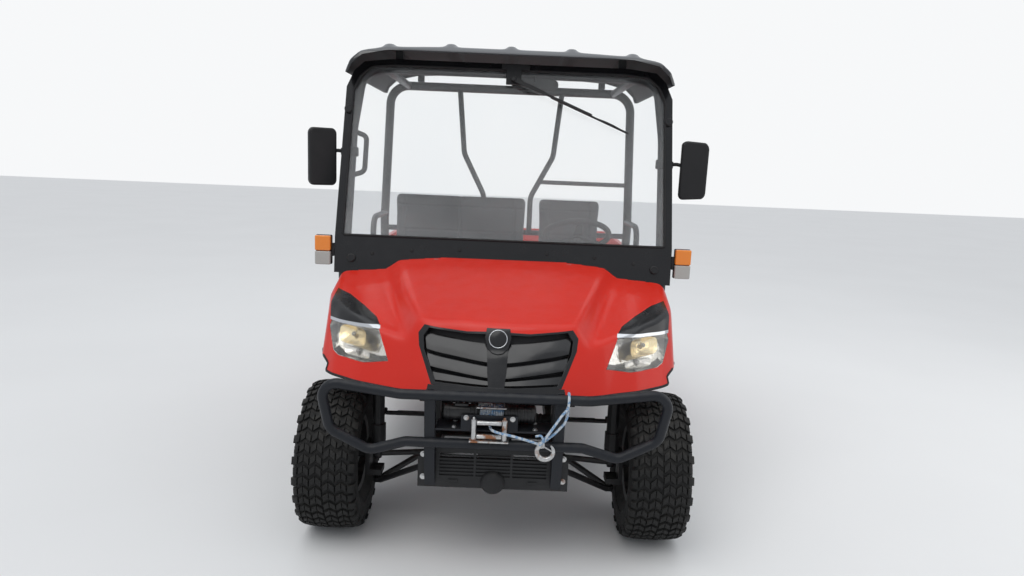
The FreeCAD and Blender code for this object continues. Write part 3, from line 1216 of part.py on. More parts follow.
# wheel arches behind the wings are open below this line
ARCH_H = 48.0
arch_low = LOW_Z - 104
arch_side = [
    (FRONT_AXLE_Y - 140, arch_low),
    (FRONT_AXLE_Y - 110, LOW_Z + ARCH_H - 17),
    (FRONT_AXLE_Y - 60, LOW_Z + ARCH_H),
    (FRONT_AXLE_Y + 440, LOW_Z + ARCH_H),
    (FRONT_AXLE_Y + 440, arch_low),
]
shell = shell.cut(prism_yz(arch_side, -past, past))
GRILLE_HALF = [(90, 33), (243, 40), (300, 166), (306, 211), (284, 242), (120, 228), (0, 232)]
SHIELD_HALF = [(0, 154), (20, 158), (40, 174), (50, 211), (44, 240)]
LAMP = [(418, 93), (520, 72), (640, 74), (668, 86), (704, 164), (696, 193), (468, 200)]
LAMP_SPLIT = 188.0
front_y, back_y = NOSE_Y - 155, NOSE_Y + 245


def nose_prism(points, y1=back_y):
    # points give x at the drawn width and the height above the lower edge
    return prism_xz([(x * WIDE, LOW_Z + h) for x, h in points], front_y, y1)


def both(half):
    return half + [(-x, h) for x, h in reversed(half) if x]


def shrunk(points, share, edge):
    mid = (min(h for x, h in points) + max(h for x, h in points)) / 2
    return [(x * share, h + (edge if h < mid else -edge)) for x, h in points]


grille_line = both(GRILLE_HALF)
shield_line = both(SHIELD_HALF)
shell = shell.cut([nose_prism(shrunk(grille_line, 0.965, 4)), nose_prism(shrunk(shield_line, 1.06, -2))])
lamp_hole = nose_prism(LAMP, NOSE_Y + 445)
shell = shell.cut([lamp_hole, mirrored(lamp_hole)])
shell = max(shell.Solids, key=lambda s: s.Volume)
# hinge ears and pins
EYE_HALF = 11.0
EAR_GAP = 1.0
HINGE_EAR_T = 10.0
hinge_y = screen_y(BONNET_HINGE_Z) - BONNET_REAR_GAP - 10
ears, pins, hinge = [], [], []
for s in (1, -1):
    x0 = s * BONNET_HINGE_X * WIDE
    near = EYE_HALF + EAR_GAP
    far = near + HINGE_EAR_T
    for a, b in ((x0 - far, x0 - near), (x0 + near, x0 + far)):
        ears.append(box(a, b, hinge_y - 8, hinge_y + 8, BONNET_HINGE_Z - 8, BONNET_HINGE_Z + 16).common(outer))
    pins.append(rod((x0 - far, hinge_y, BONNET_HINGE_Z), (x0 + far, hinge_y, BONNET_HINGE_Z), HINGE_PIN_R))
    eye = box(x0 - EYE_HALF, x0 + EYE_HALF, hinge_y - 6.5, hinge_y + 5, BONNET_HINGE_Z - 16, BONNET_HINGE_Z + 6)
    tongue = box(x0 - EYE_HALF, x0 + EYE_HALF, hinge_y, screen_y(BONNET_HINGE_Z), BONNET_HINGE_Z - 16, BONNET_HINGE_Z - 11)
    eye = eye.fuse(tongue).removeSplitter()
    eye = eye.cut(screen_plate([(-past, SCREEN_LOW_Z - 40), (past, SCREEN_LOW_Z - 40), (past, KNEE_Z + 260), (-past, KNEE_Z + 260)], 0, 60))
    hinge.append(eye.cut(hole((x0 - 20, hinge_y, BONNET_HINGE_Z), (x0 + 20, hinge_y, BONNET_HINGE_Z), HINGE_PIN_R + FIT)))
add("bonnet", fuse([shell] + ears + pins))
add("bonnet_hinges", Part.Compound(hinge))

# Grille: surround and slanting blades set behind the nose, middle bar, shield and round badge
GRILLE_DEPTH = 14.0
BLADES = [
    # height at the middle, height at the outer end, outer x, half height
    (180, 222, 282, 13),
    (141, 176, 300, 7),
    (112, 142, 290, 6.5),
    (84, 110, 278, 6),
    (58, 79, 262, 5.5),
]
nose = ruled_block(LOW_Z, BONNET_TOP_Z, BONNET_T + FIT)
nose_in = ruled_block(LOW_Z, BONNET_TOP_Z, BONNET_T + FIT + GRILLE_DEPTH)
bezel = nose.cut(nose_in).common(nose_prism(grille_line))
window = nose_prism(shrunk(grille_line, 0.93, 9))
pieces = [bezel.cut(window)]
inside = bezel.common(window)
for mid, end, x, h in BLADES:
    blade = [(0, mid - h), (x, end - h), (x, end + h), (0, mid + h), (-x, end + h), (-x, end - h)]
    pieces.append(inside.common(nose_prism(blade)))
pieces.append(inside.common(nose_prism([(-36, 30), (36, 30), (40, 176), (-40, 176)])))
proud = ruled_block(LOW_Z, BONNET_TOP_Z, -4)
pieces.append(proud.cut(nose_in).common(nose_prism(shield_line)))
BADGE_R = 35.0
badge_z = LOW_Z + 207
rake = (UPPER[0][1] - LOWER[0][1]) / (HIGH_Z - LOW_Z)
badge_y = NOSE_Y + rake * (badge_z - LOW_Z) - 4
face = V(0, -1, rake).normalize()
badge_at = V(0, badge_y, badge_z)
pieces.append(rod(tuple(badge_at - face * 6), tuple(badge_at + face * 3), BADGE_R, 16))
add("grille", fuse(pieces))

# Headlamps and their trims
LENS_T = 26.0
lens = ruled_block(LOW_Z, BONNET_TOP_Z, FIT).cut(ruled_block(LOW_Z, BONNET_TOP_Z, FIT + LENS_T)).common(nose_prism(LAMP, NOSE_Y + 445))
split = box(0, past, NOSE_Y - 55, NOSE_Y + 545, LOW_Z, LOW_Z + LAMP_SPLIT)
add("headlamps", pair(lens.common(split)))
add("lamp_trims", pair(lens.cut(split)))

# Cargo bed with sills, hinge and ram brackets
y0, y1 = BED_FRONT_Y, BED_REAR_Y
bed = box(-BED_HALF_W, BED_HALF_W, y0, y1, BED_FLOOR_Z, BED_RIM_Z)
bed = bed.cut(box(-BED_HALF_W + BED_T, BED_HALF_W - BED_T, y0 + BED_T, y1 + 1, BED_FLOOR_Z + BED_T, BED_RIM_Z + 1))
sill_z = BED_RAIL_Z + BED_RAIL_H + FIT
bed_parts = [bed]
for s in (1, -1):
    a, b = sorted((s * rail_in, s * rail_out))
    bed_parts.append(box(a, b, y0 + 10, BED_HINGE_Y - 60, sill_z, BED_FLOOR_Z))
    for e in (-1, 1):
        x0 = s * RAIL_X + e * 14
        bed_parts.append(box(x0 - 5, x0 + 5, BED_HINGE_Y - 12, BED_HINGE_Y + 12, BED_HINGE_Z - 12, BED_FLOOR_Z))
    bed_parts.append(rod((s * RAIL_X - 19, BED_HINGE_Y, BED_HINGE_Z), (s * RAIL_X + 19, BED_HINGE_Y, BED_HINGE_Z), BED_PIN_R))
    # rim flange
    a, b = sorted((s * BED_HALF_W, s * (BED_HALF_W + BED_FLANGE_W)))
    bed_parts.append(box(a, b, y0, y1, BED_RIM_Z - BED_FLANGE_H, BED_RIM_Z))
    # tailgate hinge ears
    a, b = sorted((s * GATE_EAR_X, s * (GATE_EAR_X + 12)))
    bed_parts.append(box(a, b, y1 - 20, TAILGATE_PIN_Y + 9, TAILGATE_PIN_Z - 9, BED_FLOOR_Z))
    bed_parts.append(box(a, b, y1, TAILGATE_PIN_Y + 9, TAILGATE_PIN_Z - 9, TAILGATE_PIN_Z + 9))
bed_parts.append(box(ram_side, ram_plate, RAM_TOP_Y - 20, RAM_TOP_Y + 20, RAM_TOP_Z - 16, BED_FLOOR_Z))
bed_parts.append(rod((RAM_X - RAM_W / 2 - 3, RAM_TOP_Y, RAM_TOP_Z), (ram_side, RAM_TOP_Y, RAM_TOP_Z), RAM_PIN_R))
add("bed", fuse(bed_parts))

gate_y = BED_REAR_Y + MOVE_GAP
gate = [box(-BED_HALF_W, BED_HALF_W, gate_y, gate_y + TAILGATE_T, BED_FLOOR_Z - 8, BED_RIM_Z)]
gate = fuse(gate)
for s in (1, -1):
    a, b = sorted((s * (GATE_EAR_X - 3), s * (GATE_EAR_X + 15)))
    gate = gate.cut(box(a, b, gate_y - 1, gate_y + TAILGATE_T + 1, BED_FLOOR_Z - 9, BED_FLOOR_Z + 30))
    pin = rod((s * (GATE_EAR_X - 10), TAILGATE_PIN_Y, TAILGATE_PIN_Z), (s * (GATE_EAR_X + 22), TAILGATE_PIN_Y, TAILGATE_PIN_Z), GATE_PIN_R)
    gate = gate.fuse(pin)
add("tailgate", gate.removeSplitter())
pin_holes = [
    hole((s * (GATE_EAR_X - 2), TAILGATE_PIN_Y, TAILGATE_PIN_Z), (s * (GATE_EAR_X + 16), TAILGATE_PIN_Y, TAILGATE_PIN_Z), GATE_PIN_R + FIT)
    for s in (1, -1)
]
NODES["bed"] = NODES["bed"].cut(pin_holes)

# Tipping ram
low = V(RAM_X, RAM_LOW_Y, RAM_LOW_Z)
high = V(RAM_X, RAM_TOP_Y, RAM_TOP_Z)
ram_dir = (high - low).normalize()
ram_len = (high - low).Length
hw = RAM_W / 2
barrel = [
    rod(tuple(low + ram_dir * 40), tuple(low + ram_dir * (ram_len - 42)), RAM_R),
    rod(tuple(low), tuple(low + ram_dir * 44), 9),
    rod((RAM_X - hw, RAM_LOW_Y, RAM_LOW_Z), (RAM_X + hw, RAM_LOW_Y, RAM_LOW_Z), 17),
]
barrel = fuse(barrel)
barrel = barrel.cut(hole((RAM_X - 30, RAM_LOW_Y, RAM_LOW_Z), (RAM_X + 30, RAM_LOW_Y, RAM_LOW_Z), RAM_PIN_R + FIT))
barrel = barrel.cut(rod(tuple(low + ram_dir * 50), tuple(high), RAM_ROD_R + FIT, sides_for(RAM_ROD_R)))
add("ram_barrel", barrel)
eye_r = RAM_PIN_R + RAM_EYE_PLAY
ram_rod = [
    rod(tuple(low + ram_dir * 54), tuple(high - ram_dir * eye_r), RAM_ROD_R),
    rod((RAM_X - hw, RAM_TOP_Y, RAM_TOP_Z), (RAM_X + hw, RAM_TOP_Y, RAM_TOP_Z), eye_r + 8),
]
ram_rod = fuse(ram_rod).cut(hole((RAM_X - 30, RAM_TOP_Y, RAM_TOP_Z), (RAM_X + 30, RAM_TOP_Y, RAM_TOP_Z), eye_r))
add("ram_rod", ram_rod)

# Exhaust
MUFFLER_R = 55.0
EXHAUST_R = 18.0
muffler_z = BED_RAIL_Z - 75
muffler = fuse(
    [
        rod((-175, MUFFLER_Y, muffler_z), (175, MUFFLER_Y, muffler_z), MUFFLER_R),
        box(-30, 30, MUFFLER_Y - 15, MUFFLER_Y + 15, muffler_z + MUFFLER_R - 5, BED_RAIL_Z),
        rod((120, ENGINE_REAR_Y, engine_mid - 20), (120, MUFFLER_Y - 20, muffler_z - 15), EXHAUST_R),
        rod((-120, MUFFLER_Y + 20, muffler_z), (-120, REAR_AXLE_Y + 140, muffler_z), EXHAUST_R),
    ]
)
muffler = muffler.cut(fuse(engine))
add("exhaust", max(muffler.Solids, key=lambda s: s.Volume))

# Hook on the rope: an eye and an open curve of round bar
HOOK_R = 30.0
HOOK_BAR_R = 8.5
HOOK_EYE_R = 13.5
rope_y = flange_y - 48
eye_x, eye_z = WINCH_X + 190, slot_z - 37
hook_x, hook_z = eye_x + 16, eye_z - 26
hook_eye = rod((eye_x, rope_y - 6, eye_z), (eye_x, rope_y + 6, eye_z), HOOK_EYE_R, 10)
HOOK_START, HOOK_TURN, HOOK_CHORDS = 118.0, 292.0, 12
curve = []
for k in range(HOOK_CHORDS + 1):
    a = math.radians(HOOK_START + HOOK_TURN * k / HOOK_CHORDS)
    curve.append(V(hook_x + HOOK_R * math.cos(a), rope_y, hook_z + HOOK_R * math.sin(a)))
hook = fuse([hook_eye, swept(curve, HOOK_BAR_R)])
add("winch_hook", hook)

# Rope on the drum, out through the fairlead to the hook, and in a loop over the guard's upper tube
RUN = [
    # x from the winch, y from the front of the rollers, z from the fairlead slot
    (0, 64, 9),
    (0, 20, 3),
    (9, -22, -1),
    (41, -43, -3),
    (79, -48, -7),
    (137, -49, -22),
    (190, -48, -37),
]
over = GUARD_TUBE_R + ROPE_R + 0.5
ring_z = GUARD_Z - 14
ring_y = guard_point(0, ring_z)[1]
loop_x = GUARD_POST_X + GUARD_POST_W / 2 + 7
LOOP = [
    (eye_x, rope_y - 6, eye_z + 4),
    (eye_x + 34, rope_y - 5, eye_z + 56),
    (eye_x + 70, rope_y, eye_z + 112),
    (loop_x - 1, ring_y - over, ring_z - 22),
    (loop_x, ring_y - over, ring_z + over),
    (loop_x + 1, ring_y + over, ring_z + over),
    (loop_x + 1, ring_y + over, ring_z - 14),
    (loop_x, ring_y - 8, ring_z - 52),
    (loop_x - 12, rope_y + 12, ring_z - 82),
    (loop_x - 46, rope_y + 4, ring_z - 118),
    (eye_x, rope_y + 4, eye_z),
]


def free_radii(points, most):
    # each bend as large as its two runs allow
    radii = []
    for i in range(1, len(points) - 1):
        p, u, w = V(*points[i]), V(*points[i - 1]), V(*points[i + 1])
        turn = (p - u).getAngle(w - p)
        radii.append(min(most, 0.45 * min((p - u).Length, (w - p).Length) / math.tan(turn / 2)))
    return radii


run = [(WINCH_X + x, flange_y + y, slot_z + z) for x, y, z in RUN]
lay = [
    rod((-64, WINCH_Y, WINCH_Z), (36, WINCH_Y, WINCH_Z), DRUM_R + 10),
    tube(run, ROPE_R, free_radii(run, 200)),
]
lay = fuse(lay).cut([rod((-70, WINCH_Y, WINCH_Z), (40, WINCH_Y, WINCH_Z), DRUM_R), hook])
sling = tube(LOOP, ROPE_R, free_radii(LOOP, over)).cut(hook)
strands = [max(s.Solids, key=lambda v: v.Volume) for s in (lay, sling)]
add("winch_rope", Part.Compound(strands))

os.makedirs("parts", exist_ok=True)
for name, shape in NODES.items():
    shape.exportStep("parts/" + name + ".step")
    print(name, len(shape.Solids), shape.isValid(), round(shape.Volume / 1e6, 3))
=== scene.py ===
import json
from math import atan, ceil, copysign, cos, degrees, hypot, pi, radians, sin, tan

import bmesh
import bpy
import numpy as np
from mathutils import Matrix, Vector
from mathutils.bvhtree import BVHTree


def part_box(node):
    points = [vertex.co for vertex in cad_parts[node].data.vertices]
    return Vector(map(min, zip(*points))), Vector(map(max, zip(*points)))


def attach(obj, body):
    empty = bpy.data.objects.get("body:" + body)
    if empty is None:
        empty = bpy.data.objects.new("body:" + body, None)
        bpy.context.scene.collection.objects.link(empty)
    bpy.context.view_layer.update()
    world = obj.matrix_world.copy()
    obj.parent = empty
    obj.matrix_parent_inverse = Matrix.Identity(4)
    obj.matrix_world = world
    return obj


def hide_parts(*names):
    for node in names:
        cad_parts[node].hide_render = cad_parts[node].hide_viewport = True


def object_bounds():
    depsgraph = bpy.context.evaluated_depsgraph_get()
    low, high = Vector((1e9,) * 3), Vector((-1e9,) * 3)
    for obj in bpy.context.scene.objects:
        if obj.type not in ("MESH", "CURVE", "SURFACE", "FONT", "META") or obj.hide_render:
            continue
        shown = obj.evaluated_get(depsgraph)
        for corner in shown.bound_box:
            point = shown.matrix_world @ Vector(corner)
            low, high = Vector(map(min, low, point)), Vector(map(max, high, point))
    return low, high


# Every helper below takes and gives millimetres; meshes are scaled to metres when they are made.
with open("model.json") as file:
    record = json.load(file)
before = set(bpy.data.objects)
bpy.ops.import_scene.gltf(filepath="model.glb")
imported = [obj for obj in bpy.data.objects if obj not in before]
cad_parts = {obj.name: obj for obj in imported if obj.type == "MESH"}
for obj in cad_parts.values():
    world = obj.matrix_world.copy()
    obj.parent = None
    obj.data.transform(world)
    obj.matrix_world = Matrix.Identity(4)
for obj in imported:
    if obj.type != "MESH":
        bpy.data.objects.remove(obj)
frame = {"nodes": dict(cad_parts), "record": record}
CAD_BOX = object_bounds()
NODES = frame["nodes"]
RECORD = frame["record"]
SLOT_OF = {row["node"]: row["material_slot"] for row in RECORD["subparts"]}
BODY_OF = {node: body for body, nodes in RECORD["behaviour"]["bodies"].items() for node in nodes}
MM = 1000.0
TURN = 2 * pi
SIDES = ((1, "left"), (-1, "right"))

# Camera: eye height, turn, tilt and roll of the photograph
YAW, PITCH, ROLL = (radians(v) for v in (0.3, 9.85, 2.39))
forward = Vector((sin(YAW) * cos(PITCH), cos(YAW) * cos(PITCH), -sin(PITCH)))
right = Vector((cos(YAW), -sin(YAW), 0))
upward = right.cross(forward)
cam_x = right * cos(ROLL) + upward * sin(ROLL)
cam_y = upward * cos(ROLL) - right * sin(ROLL)
camera_data = bpy.data.cameras.new("camera")
camera_data.lens = 25.3
camera_data.sensor_width = 36.0
camera = bpy.data.objects.new("camera", camera_data)
bpy.context.collection.objects.link(camera)
aim = Matrix((cam_x, cam_y, -forward)).transposed().to_4x4()
camera.matrix_world = Matrix.Translation((0.030, -3.973, 1.564)) @ aim
bpy.context.scene.camera = camera
bpy.context.scene.view_settings.view_transform = "Standard"


# Material helpers
class Nodes:
    def __init__(self, name):
        self.mat = bpy.data.materials.new(name)
        self.mat.use_nodes = True
        self.tree = self.mat.node_tree
        self.bsdf = self.tree.nodes["Principled BSDF"]
        self.coord = self.tree.nodes.new("ShaderNodeTexCoord").outputs["Object"]
        MATERIALS[name] = self.mat

    def feed(self, socket, value):
        # an output is linked, a constant is set on the socket
        if hasattr(value, "is_output"):
            self.tree.links.new(value, socket)
        else:
            socket.default_value = value

    def fill(self, node, **sockets):
        for key, value in sockets.items():
            self.feed(node.inputs[key.replace("_", " ")], value)
        return node

    def new(self, kind, **sockets):
        return self.fill(self.tree.nodes.new(kind), **sockets)

    def shade(self, **sockets):
        self.fill(self.bsdf, **sockets)

    def noise(self, scale, detail=3.0):
        return self.new("ShaderNodeTexNoise", Vector=self.coord, Scale=scale, Detail=detail).outputs["Fac"]

    def cells(self, scale):
        return self.new("ShaderNodeTexVoronoi", Vector=self.coord, Scale=scale).outputs["Distance"]

    def span(self, value, low, high, to_low=0.0, to_high=1.0):
        ends = {"From Min": low, "From Max": high, "To Min": to_low, "To Max": to_high}
        return self.new("ShaderNodeMapRange", Value=value, **ends).outputs["Result"]

    def mix(self, factor, a, b):
        node = self.tree.nodes.new("ShaderNodeMix")
        node.data_type = "RGBA"
        for index, value in ((0, factor), (6, a), (7, b)):
            self.feed(node.inputs[index], (*value, 1.0) if isinstance(value, tuple) else value)
        return node.outputs[2]

    def calc(self, operation, a, b):
        node = self.tree.nodes.new("ShaderNodeMath")
        node.operation = operation
        self.feed(node.inputs[0], a)
        self.feed(node.inputs[1], b)
        return node.outputs[0]

    def bump(self, height, depth):
        self.shade(Normal=self.new("ShaderNodeBump", Height=height, Distance=depth, Strength=1.0).outputs["Normal"])

    def upward(self):
        normal = self.tree.nodes.new("ShaderNodeNewGeometry").outputs["Normal"]
        return self.new("ShaderNodeSeparateXYZ", Vector=normal).outputs["Z"]


MATERIALS = {}
GRAINS = {
    "leather": lambda n: n.calc("ADD", n.cells(520.0), n.calc("MULTIPLY", n.noise(900.0), 0.35)),
    "pebble": lambda n: n.calc("ADD", n.cells(900.0), n.noise(420.0, 5.0)),
    "powder": lambda n: n.noise(700.0),
    "peel": lambda n: n.noise(95.0, 2.0),
    "cast": lambda n: n.noise(330.0, 8.0),
}
DUST = (0.30, 0.275, 0.235)


def finish(
    name, base, second, rough, grain, depth, coat, dust, specular=0.5, metal=0.0, patch=2.5, spread=0.5, vary=0.08
):
    n = Nodes(name)
    second = second or tuple(min(1.0, c * 1.18 + 0.004) for c in base)
    colour = n.mix(n.span(n.noise(patch, 5.0), 0.5 - spread / 2, 0.5 + spread / 2), base, second)
    if dust:
        lie = n.span(n.upward(), 0.1, 0.95, 0.0, dust)
        fleck = n.span(n.noise(38.0, 6.0), 0.38, 0.72)
        colour = n.mix(n.calc("MULTIPLY", lie, fleck), colour, DUST)
    mottle = n.span(n.noise(17.0, 6.0), 0.3, 0.7, max(0.02, rough - vary), min(1.0, rough + vary))
    n.shade(Base_Color=colour, Roughness=mottle, Metallic=metal, Coat_Weight=coat, Coat_Roughness=0.08)
    n.shade(Specular_IOR_Level=specular)
    n.bump(GRAINS[grain](n) if grain in GRAINS else n.noise(grain, 4.0), depth / MM)
    return n


FINISHES = [
    # name, colour, second colour, roughness, grain and its depth, coat, dust, specular, metal, patch, spread, vary
    ("body_red", (0.61, 0.016, 0.006), (0.67, 0.021, 0.009), 0.38, "peel", 0.35, 0.22, 0.02, 0.28),
    ("bed_red", (0.57, 0.021, 0.009), (0.63, 0.027, 0.012), 0.36, "peel", 0.3, 0.2, 0.08, 0.35),
    ("frame_paint", (0.012, 0.012, 0.013), None, 0.45, "powder", 0.25, 0, 0.18, 0.35),
    ("tube_paint", (0.008, 0.0095, 0.013), (0.013, 0.015, 0.020), 0.40, "powder", 0.3, 0, 0.06, 0.3),
    ("cage_paint", (0.009, 0.010, 0.012), None, 0.38, "powder", 0.25, 0, 0.05, 0.4),
    ("winch_black", (0.008, 0.008, 0.009), None, 0.36, "powder", 0.4, 0, 0.12),
    ("black_plastic", (0.010, 0.010, 0.011), None, 0.52, "pebble", 0.3, 0, 0.07, 0.35),
    ("gloss_black", (0.005, 0.005, 0.006), None, 0.22, "peel", 0.1, 0.2, 0.02, 0.4),
    ("grille_black", (0.005, 0.005, 0.006), None, 0.20, "peel", 0.1, 0.3, 0.02, 0.4),
    ("rim_paint", (0.014, 0.014, 0.015), None, 0.38, "powder", 0.3, 0, 0.25),
    ("cast_metal", (0.20, 0.20, 0.205), None, 0.62, "cast", 0.7, 0, 0.30, 0.5, 0.6),
    ("bare_steel", (0.42, 0.41, 0.40), (0.28, 0.23, 0.19), 0.42, 260.0, 0.2, 0, 0.15, 0.5, 0.9, 14.0, 0.3),
    ("strut_paint", (0.016, 0.016, 0.017), None, 0.42, "powder", 0.3, 0, 0.25),
    ("ram_black", (0.02, 0.02, 0.021), None, 0.3, "peel", 0.1, 0.4, 0.12),
    ("rubber", (0.010, 0.010, 0.011), None, 0.60, "pebble", 0.2, 0, 0.06, 0.35),
    ("seat_vinyl", (0.014, 0.0145, 0.017), (0.020, 0.021, 0.024), 0.48, "leather", 0.5, 0, 0.05, 0.4),
    ("tyre", (0.010, 0.010, 0.010), (0.017, 0.0165, 0.016), 0.66, "pebble", 0.5, 0, 0.12, 0.3, 0, 6.0),
    ("amber", (0.80, 0.20, 0.010), (0.86, 0.28, 0.02), 0.14, 160.0, 0.6, 0.6, 0),
    ("tail_lens", (0.50, 0.012, 0.012), None, 0.14, 160.0, 0.6, 0.6, 0),
    ("white_lens", (0.36, 0.355, 0.33), (0.46, 0.455, 0.43), 0.12, 160.0, 0.6, 0.6, 0),
    ("chrome_trim", (0.80, 0.81, 0.82), (0.72, 0.73, 0.75), 0.10, "peel", 0.05, 0, 0, 0.5, 1.0),
    ("reflector", (0.70, 0.69, 0.66), (0.80, 0.78, 0.73), 0.15, 48.0, 2.2, 0, 0, 0.5, 0.95),
    ("warm_reflector", (0.93, 0.74, 0.40), (0.97, 0.84, 0.56), 0.16, 55.0, 2.5, 0, 0, 0.5, 0.92),
    ("mirror_glass", (0.75, 0.77, 0.79), None, 0.03, "peel", 0.01, 0, 0, 0.5, 1.0, 2.5, 0.5, 0.015),
    ("instrument", (0.05, 0.055, 0.06), None, 0.2, "peel", 0.1, 0.6, 0),
]
for row in FINISHES:
    finish(*row)

# Roof: shiny on top, matt below
roof = finish("roof_plastic", (0.006, 0.006, 0.007), None, 0.16, "peel", 0.2, 0.3, 0.03)
facing = roof.upward()
roof.shade(Roughness=roof.span(facing, -0.35, 0.1, 0.75, 0.13), Coat_Weight=roof.span(facing, -0.35, 0.1, 0.0, 0.7))

zinc = Nodes("zinc")
rust = zinc.span(zinc.noise(26.0, 8.0), 0.56, 0.66)
spangle = zinc.mix(zinc.span(zinc.cells(90.0), 0.1, 0.6), (0.62, 0.62, 0.61), (0.50, 0.50, 0.50))
zinc.shade(Base_Color=zinc.mix(rust, spangle, (0.26, 0.105, 0.045)))
zinc.shade(Roughness=zinc.span(rust, 0.0, 1.0, 0.32, 0.78), Metallic=zinc.span(rust, 0.0, 1.0, 0.85, 0.05))
zinc.bump(zinc.noise(240.0, 6.0), 0.0005)

rope = Nodes("rope_blue")
tuft = rope.noise(600.0, 5.0)
fibre = rope.mix(rope.span(rope.noise(75.0, 2.0), 0.46, 0.56), (0.16, 0.33, 0.56), (0.62, 0.68, 0.74))
rope.shade(Base_Color=rope.mix(rope.span(tuft, 0.35, 0.7, 0.0, 0.35), fibre, (0.30, 0.29, 0.27)))
rope.shade(Roughness=rope.span(tuft, 0.3, 0.7, 0.75, 0.95), Sheen_Weight=0.3)
rope.bump(rope.calc("ADD", rope.cells(420.0), tuft), 0.0012)


def clear_material(name, tint, haze, rough, scale):
    n = Nodes(name)
    veil = n.noise(scale, 6.0)
    fine = n.span(n.noise(140.0, 4.0), 0.3, 0.7, rough * 0.6, rough * 1.5)
    n.shade(Base_Color=n.mix(n.span(veil, 0.3, 0.7), tint, tuple(min(1.0, c + 0.06) for c in tint)), Roughness=fine)
    height = n.new("ShaderNodeSeparateXYZ", Vector=n.coord).outputs["Z"]
    mist = n.calc("MULTIPLY", n.span(height, 1.2, 1.95, 1.0, 0.25), n.span(veil, 0.3, 0.7, 0.4, 1.0))
    n.shade(Transmission_Weight=n.span(mist, 0.0, 1.0, 1.0, 1.0 - haze), IOR=1.45)
    n.bump(n.noise(30.0, 2.0), 0.00002)


clear_material("screen_clear", (0.93, 0.95, 0.96), 0.13, 0.02, 2.2)
clear_material("lamp_clear", (0.96, 0.96, 0.95), 0.04, 0.03, 6.0)
MATERIALS["lamp_housing"] = MATERIALS["black_plastic"]
# slots of the looks that aren't slots themselves
SLOT_FOR = dict.fromkeys(("rubber", "mirror_glass", "instrument"), "black_plastic")
SLOT_FOR |= dict.fromkeys(("reflector", "warm_reflector"), "lamp_clear")

for name, node in NODES.items():
    for slot in node.material_slots:
        slot.material = MATERIALS[SLOT_OF[name]]


# Object helpers
def rework(mesh, change):
    work = bmesh.new()
    work.from_mesh(mesh)
    change(work)
    work.to_mesh(mesh)
    work.free()


def face_out(work):
    bmesh.ops.recalc_face_normals(work, faces=work.faces)


def linked(name, mesh):
    obj = bpy.data.objects.new(name, mesh)
    bpy.context.collection.objects.link(obj)
    return obj


def raw_object(name, part):
    mesh = bpy.data.meshes.new(name)
    mesh.from_pydata([tuple(c / MM for c in v) for v in part[0]], [], part[1])
    mesh.validate()
    rework(mesh, face_out)
    return linked(name, mesh)


def add_bevel(obj, width, segments=2, angle=30):
    bevel = obj.modifiers.new("bevel", "BEVEL")
    bevel.width = width / MM
    bevel.segments = segments
    bevel.limit_method = "ANGLE"
    bevel.angle_limit = radians(angle)
    bevel.use_clamp_overlap = True
    bevel.harden_normals = True


def coated(obj, look, angle=40, bevel=0, segments=2, edge=30):
    mesh = obj.data
    mesh.materials.clear()
    mesh.materials.append(MATERIALS[look])
    mesh.polygons.foreach_set("material_index", [0] * len(mesh.polygons))
    mesh.shade_smooth()
    mesh.set_sharp_from_angle(angle=radians(angle))
    if bevel:
        add_bevel(obj, bevel, segments, edge)
    return obj


def place(obj, body, node=None):
    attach(obj, body)
    if node:
        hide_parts(node)
    return obj


def build(name, parts, look, body="chassis", angle=40, bevel=0, segments=2, node=None):
    # one piece of several parts; node is the CAD node that it stands for
    obj = coated(raw_object(name, joined(parts)), look, angle, bevel, segments)
    return place(obj, body, node)


def applied(obj):
    # the object with its modifiers made part of its mesh
    graph = bpy.context.evaluated_depsgraph_get()
    mesh = bpy.data.meshes.new_from_object(obj.evaluated_get(graph), depsgraph=graph)
    obj.modifiers.clear()
    old = obj.data
    obj.data = mesh
    bpy.data.meshes.remove(old)
    return obj


def dress(node, bevel, segments=2, look=None, angle=35):
    # the node's own form with softened edges
    def clean(work):
        bmesh.ops.remove_doubles(work, verts=work.verts, dist=1e-5)
        bmesh.ops.dissolve_limit(work, angle_limit=radians(1.0), verts=work.verts, edges=work.edges)

    mesh = NODES[node].data.copy()
    rework(mesh, clean)
    obj = coated(linked(node + "_form", mesh), look or SLOT_OF[node], angle, bevel, segments, angle)
    place(obj, BODY_OF[node], node)


def cut_with(obj, part, operation="DIFFERENCE"):
    tool = raw_object("tool", part)
    boolean = obj.modifiers.new("cut", "BOOLEAN")
    boolean.object = tool
    boolean.operation = operation
    boolean.solver = "EXACT"
    applied(obj)
    mesh = tool.data
    bpy.data.objects.remove(tool)
    bpy.data.meshes.remove(mesh)


def thicken(obj, thickness):
    solid = obj.modifiers.new("thick", "SOLIDIFY")
    solid.thickness = thickness / MM
    solid.offset = -1.0
    applied(obj)


def voxel(obj, size):
    remesh = obj.modifiers.new("voxel", "REMESH")
    remesh.mode = "VOXEL"
    remesh.voxel_size = size / MM
    remesh.use_smooth_shade = True
    applied(obj)


def points_of(obj, key="co"):
    return np.array([getattr(v, key) for v in obj.data.vertices])


def move_points(obj, co):
    obj.data.vertices.foreach_set("co", co.ravel())
    obj.data.update()


def relax(obj, rounds, factor=0.5):
    # plain averaging over neighbours
    co = points_of(obj)
    edges = np.array([e.vertices[:] for e in obj.data.edges])
    degree = np.bincount(edges.ravel(), minlength=len(co))[:, None]
    for _ in range(rounds):
        total = np.zeros_like(co)
        np.add.at(total, edges[:, 0], co[edges[:, 1]])
        np.add.at(total, edges[:, 1], co[edges[:, 0]])
        co += (total / np.maximum(degree, 1) - co) * factor
    move_points(obj, co)


def bvh_of(obj):
    return BVHTree.FromObject(obj, bpy.context.evaluated_depsgraph_get())


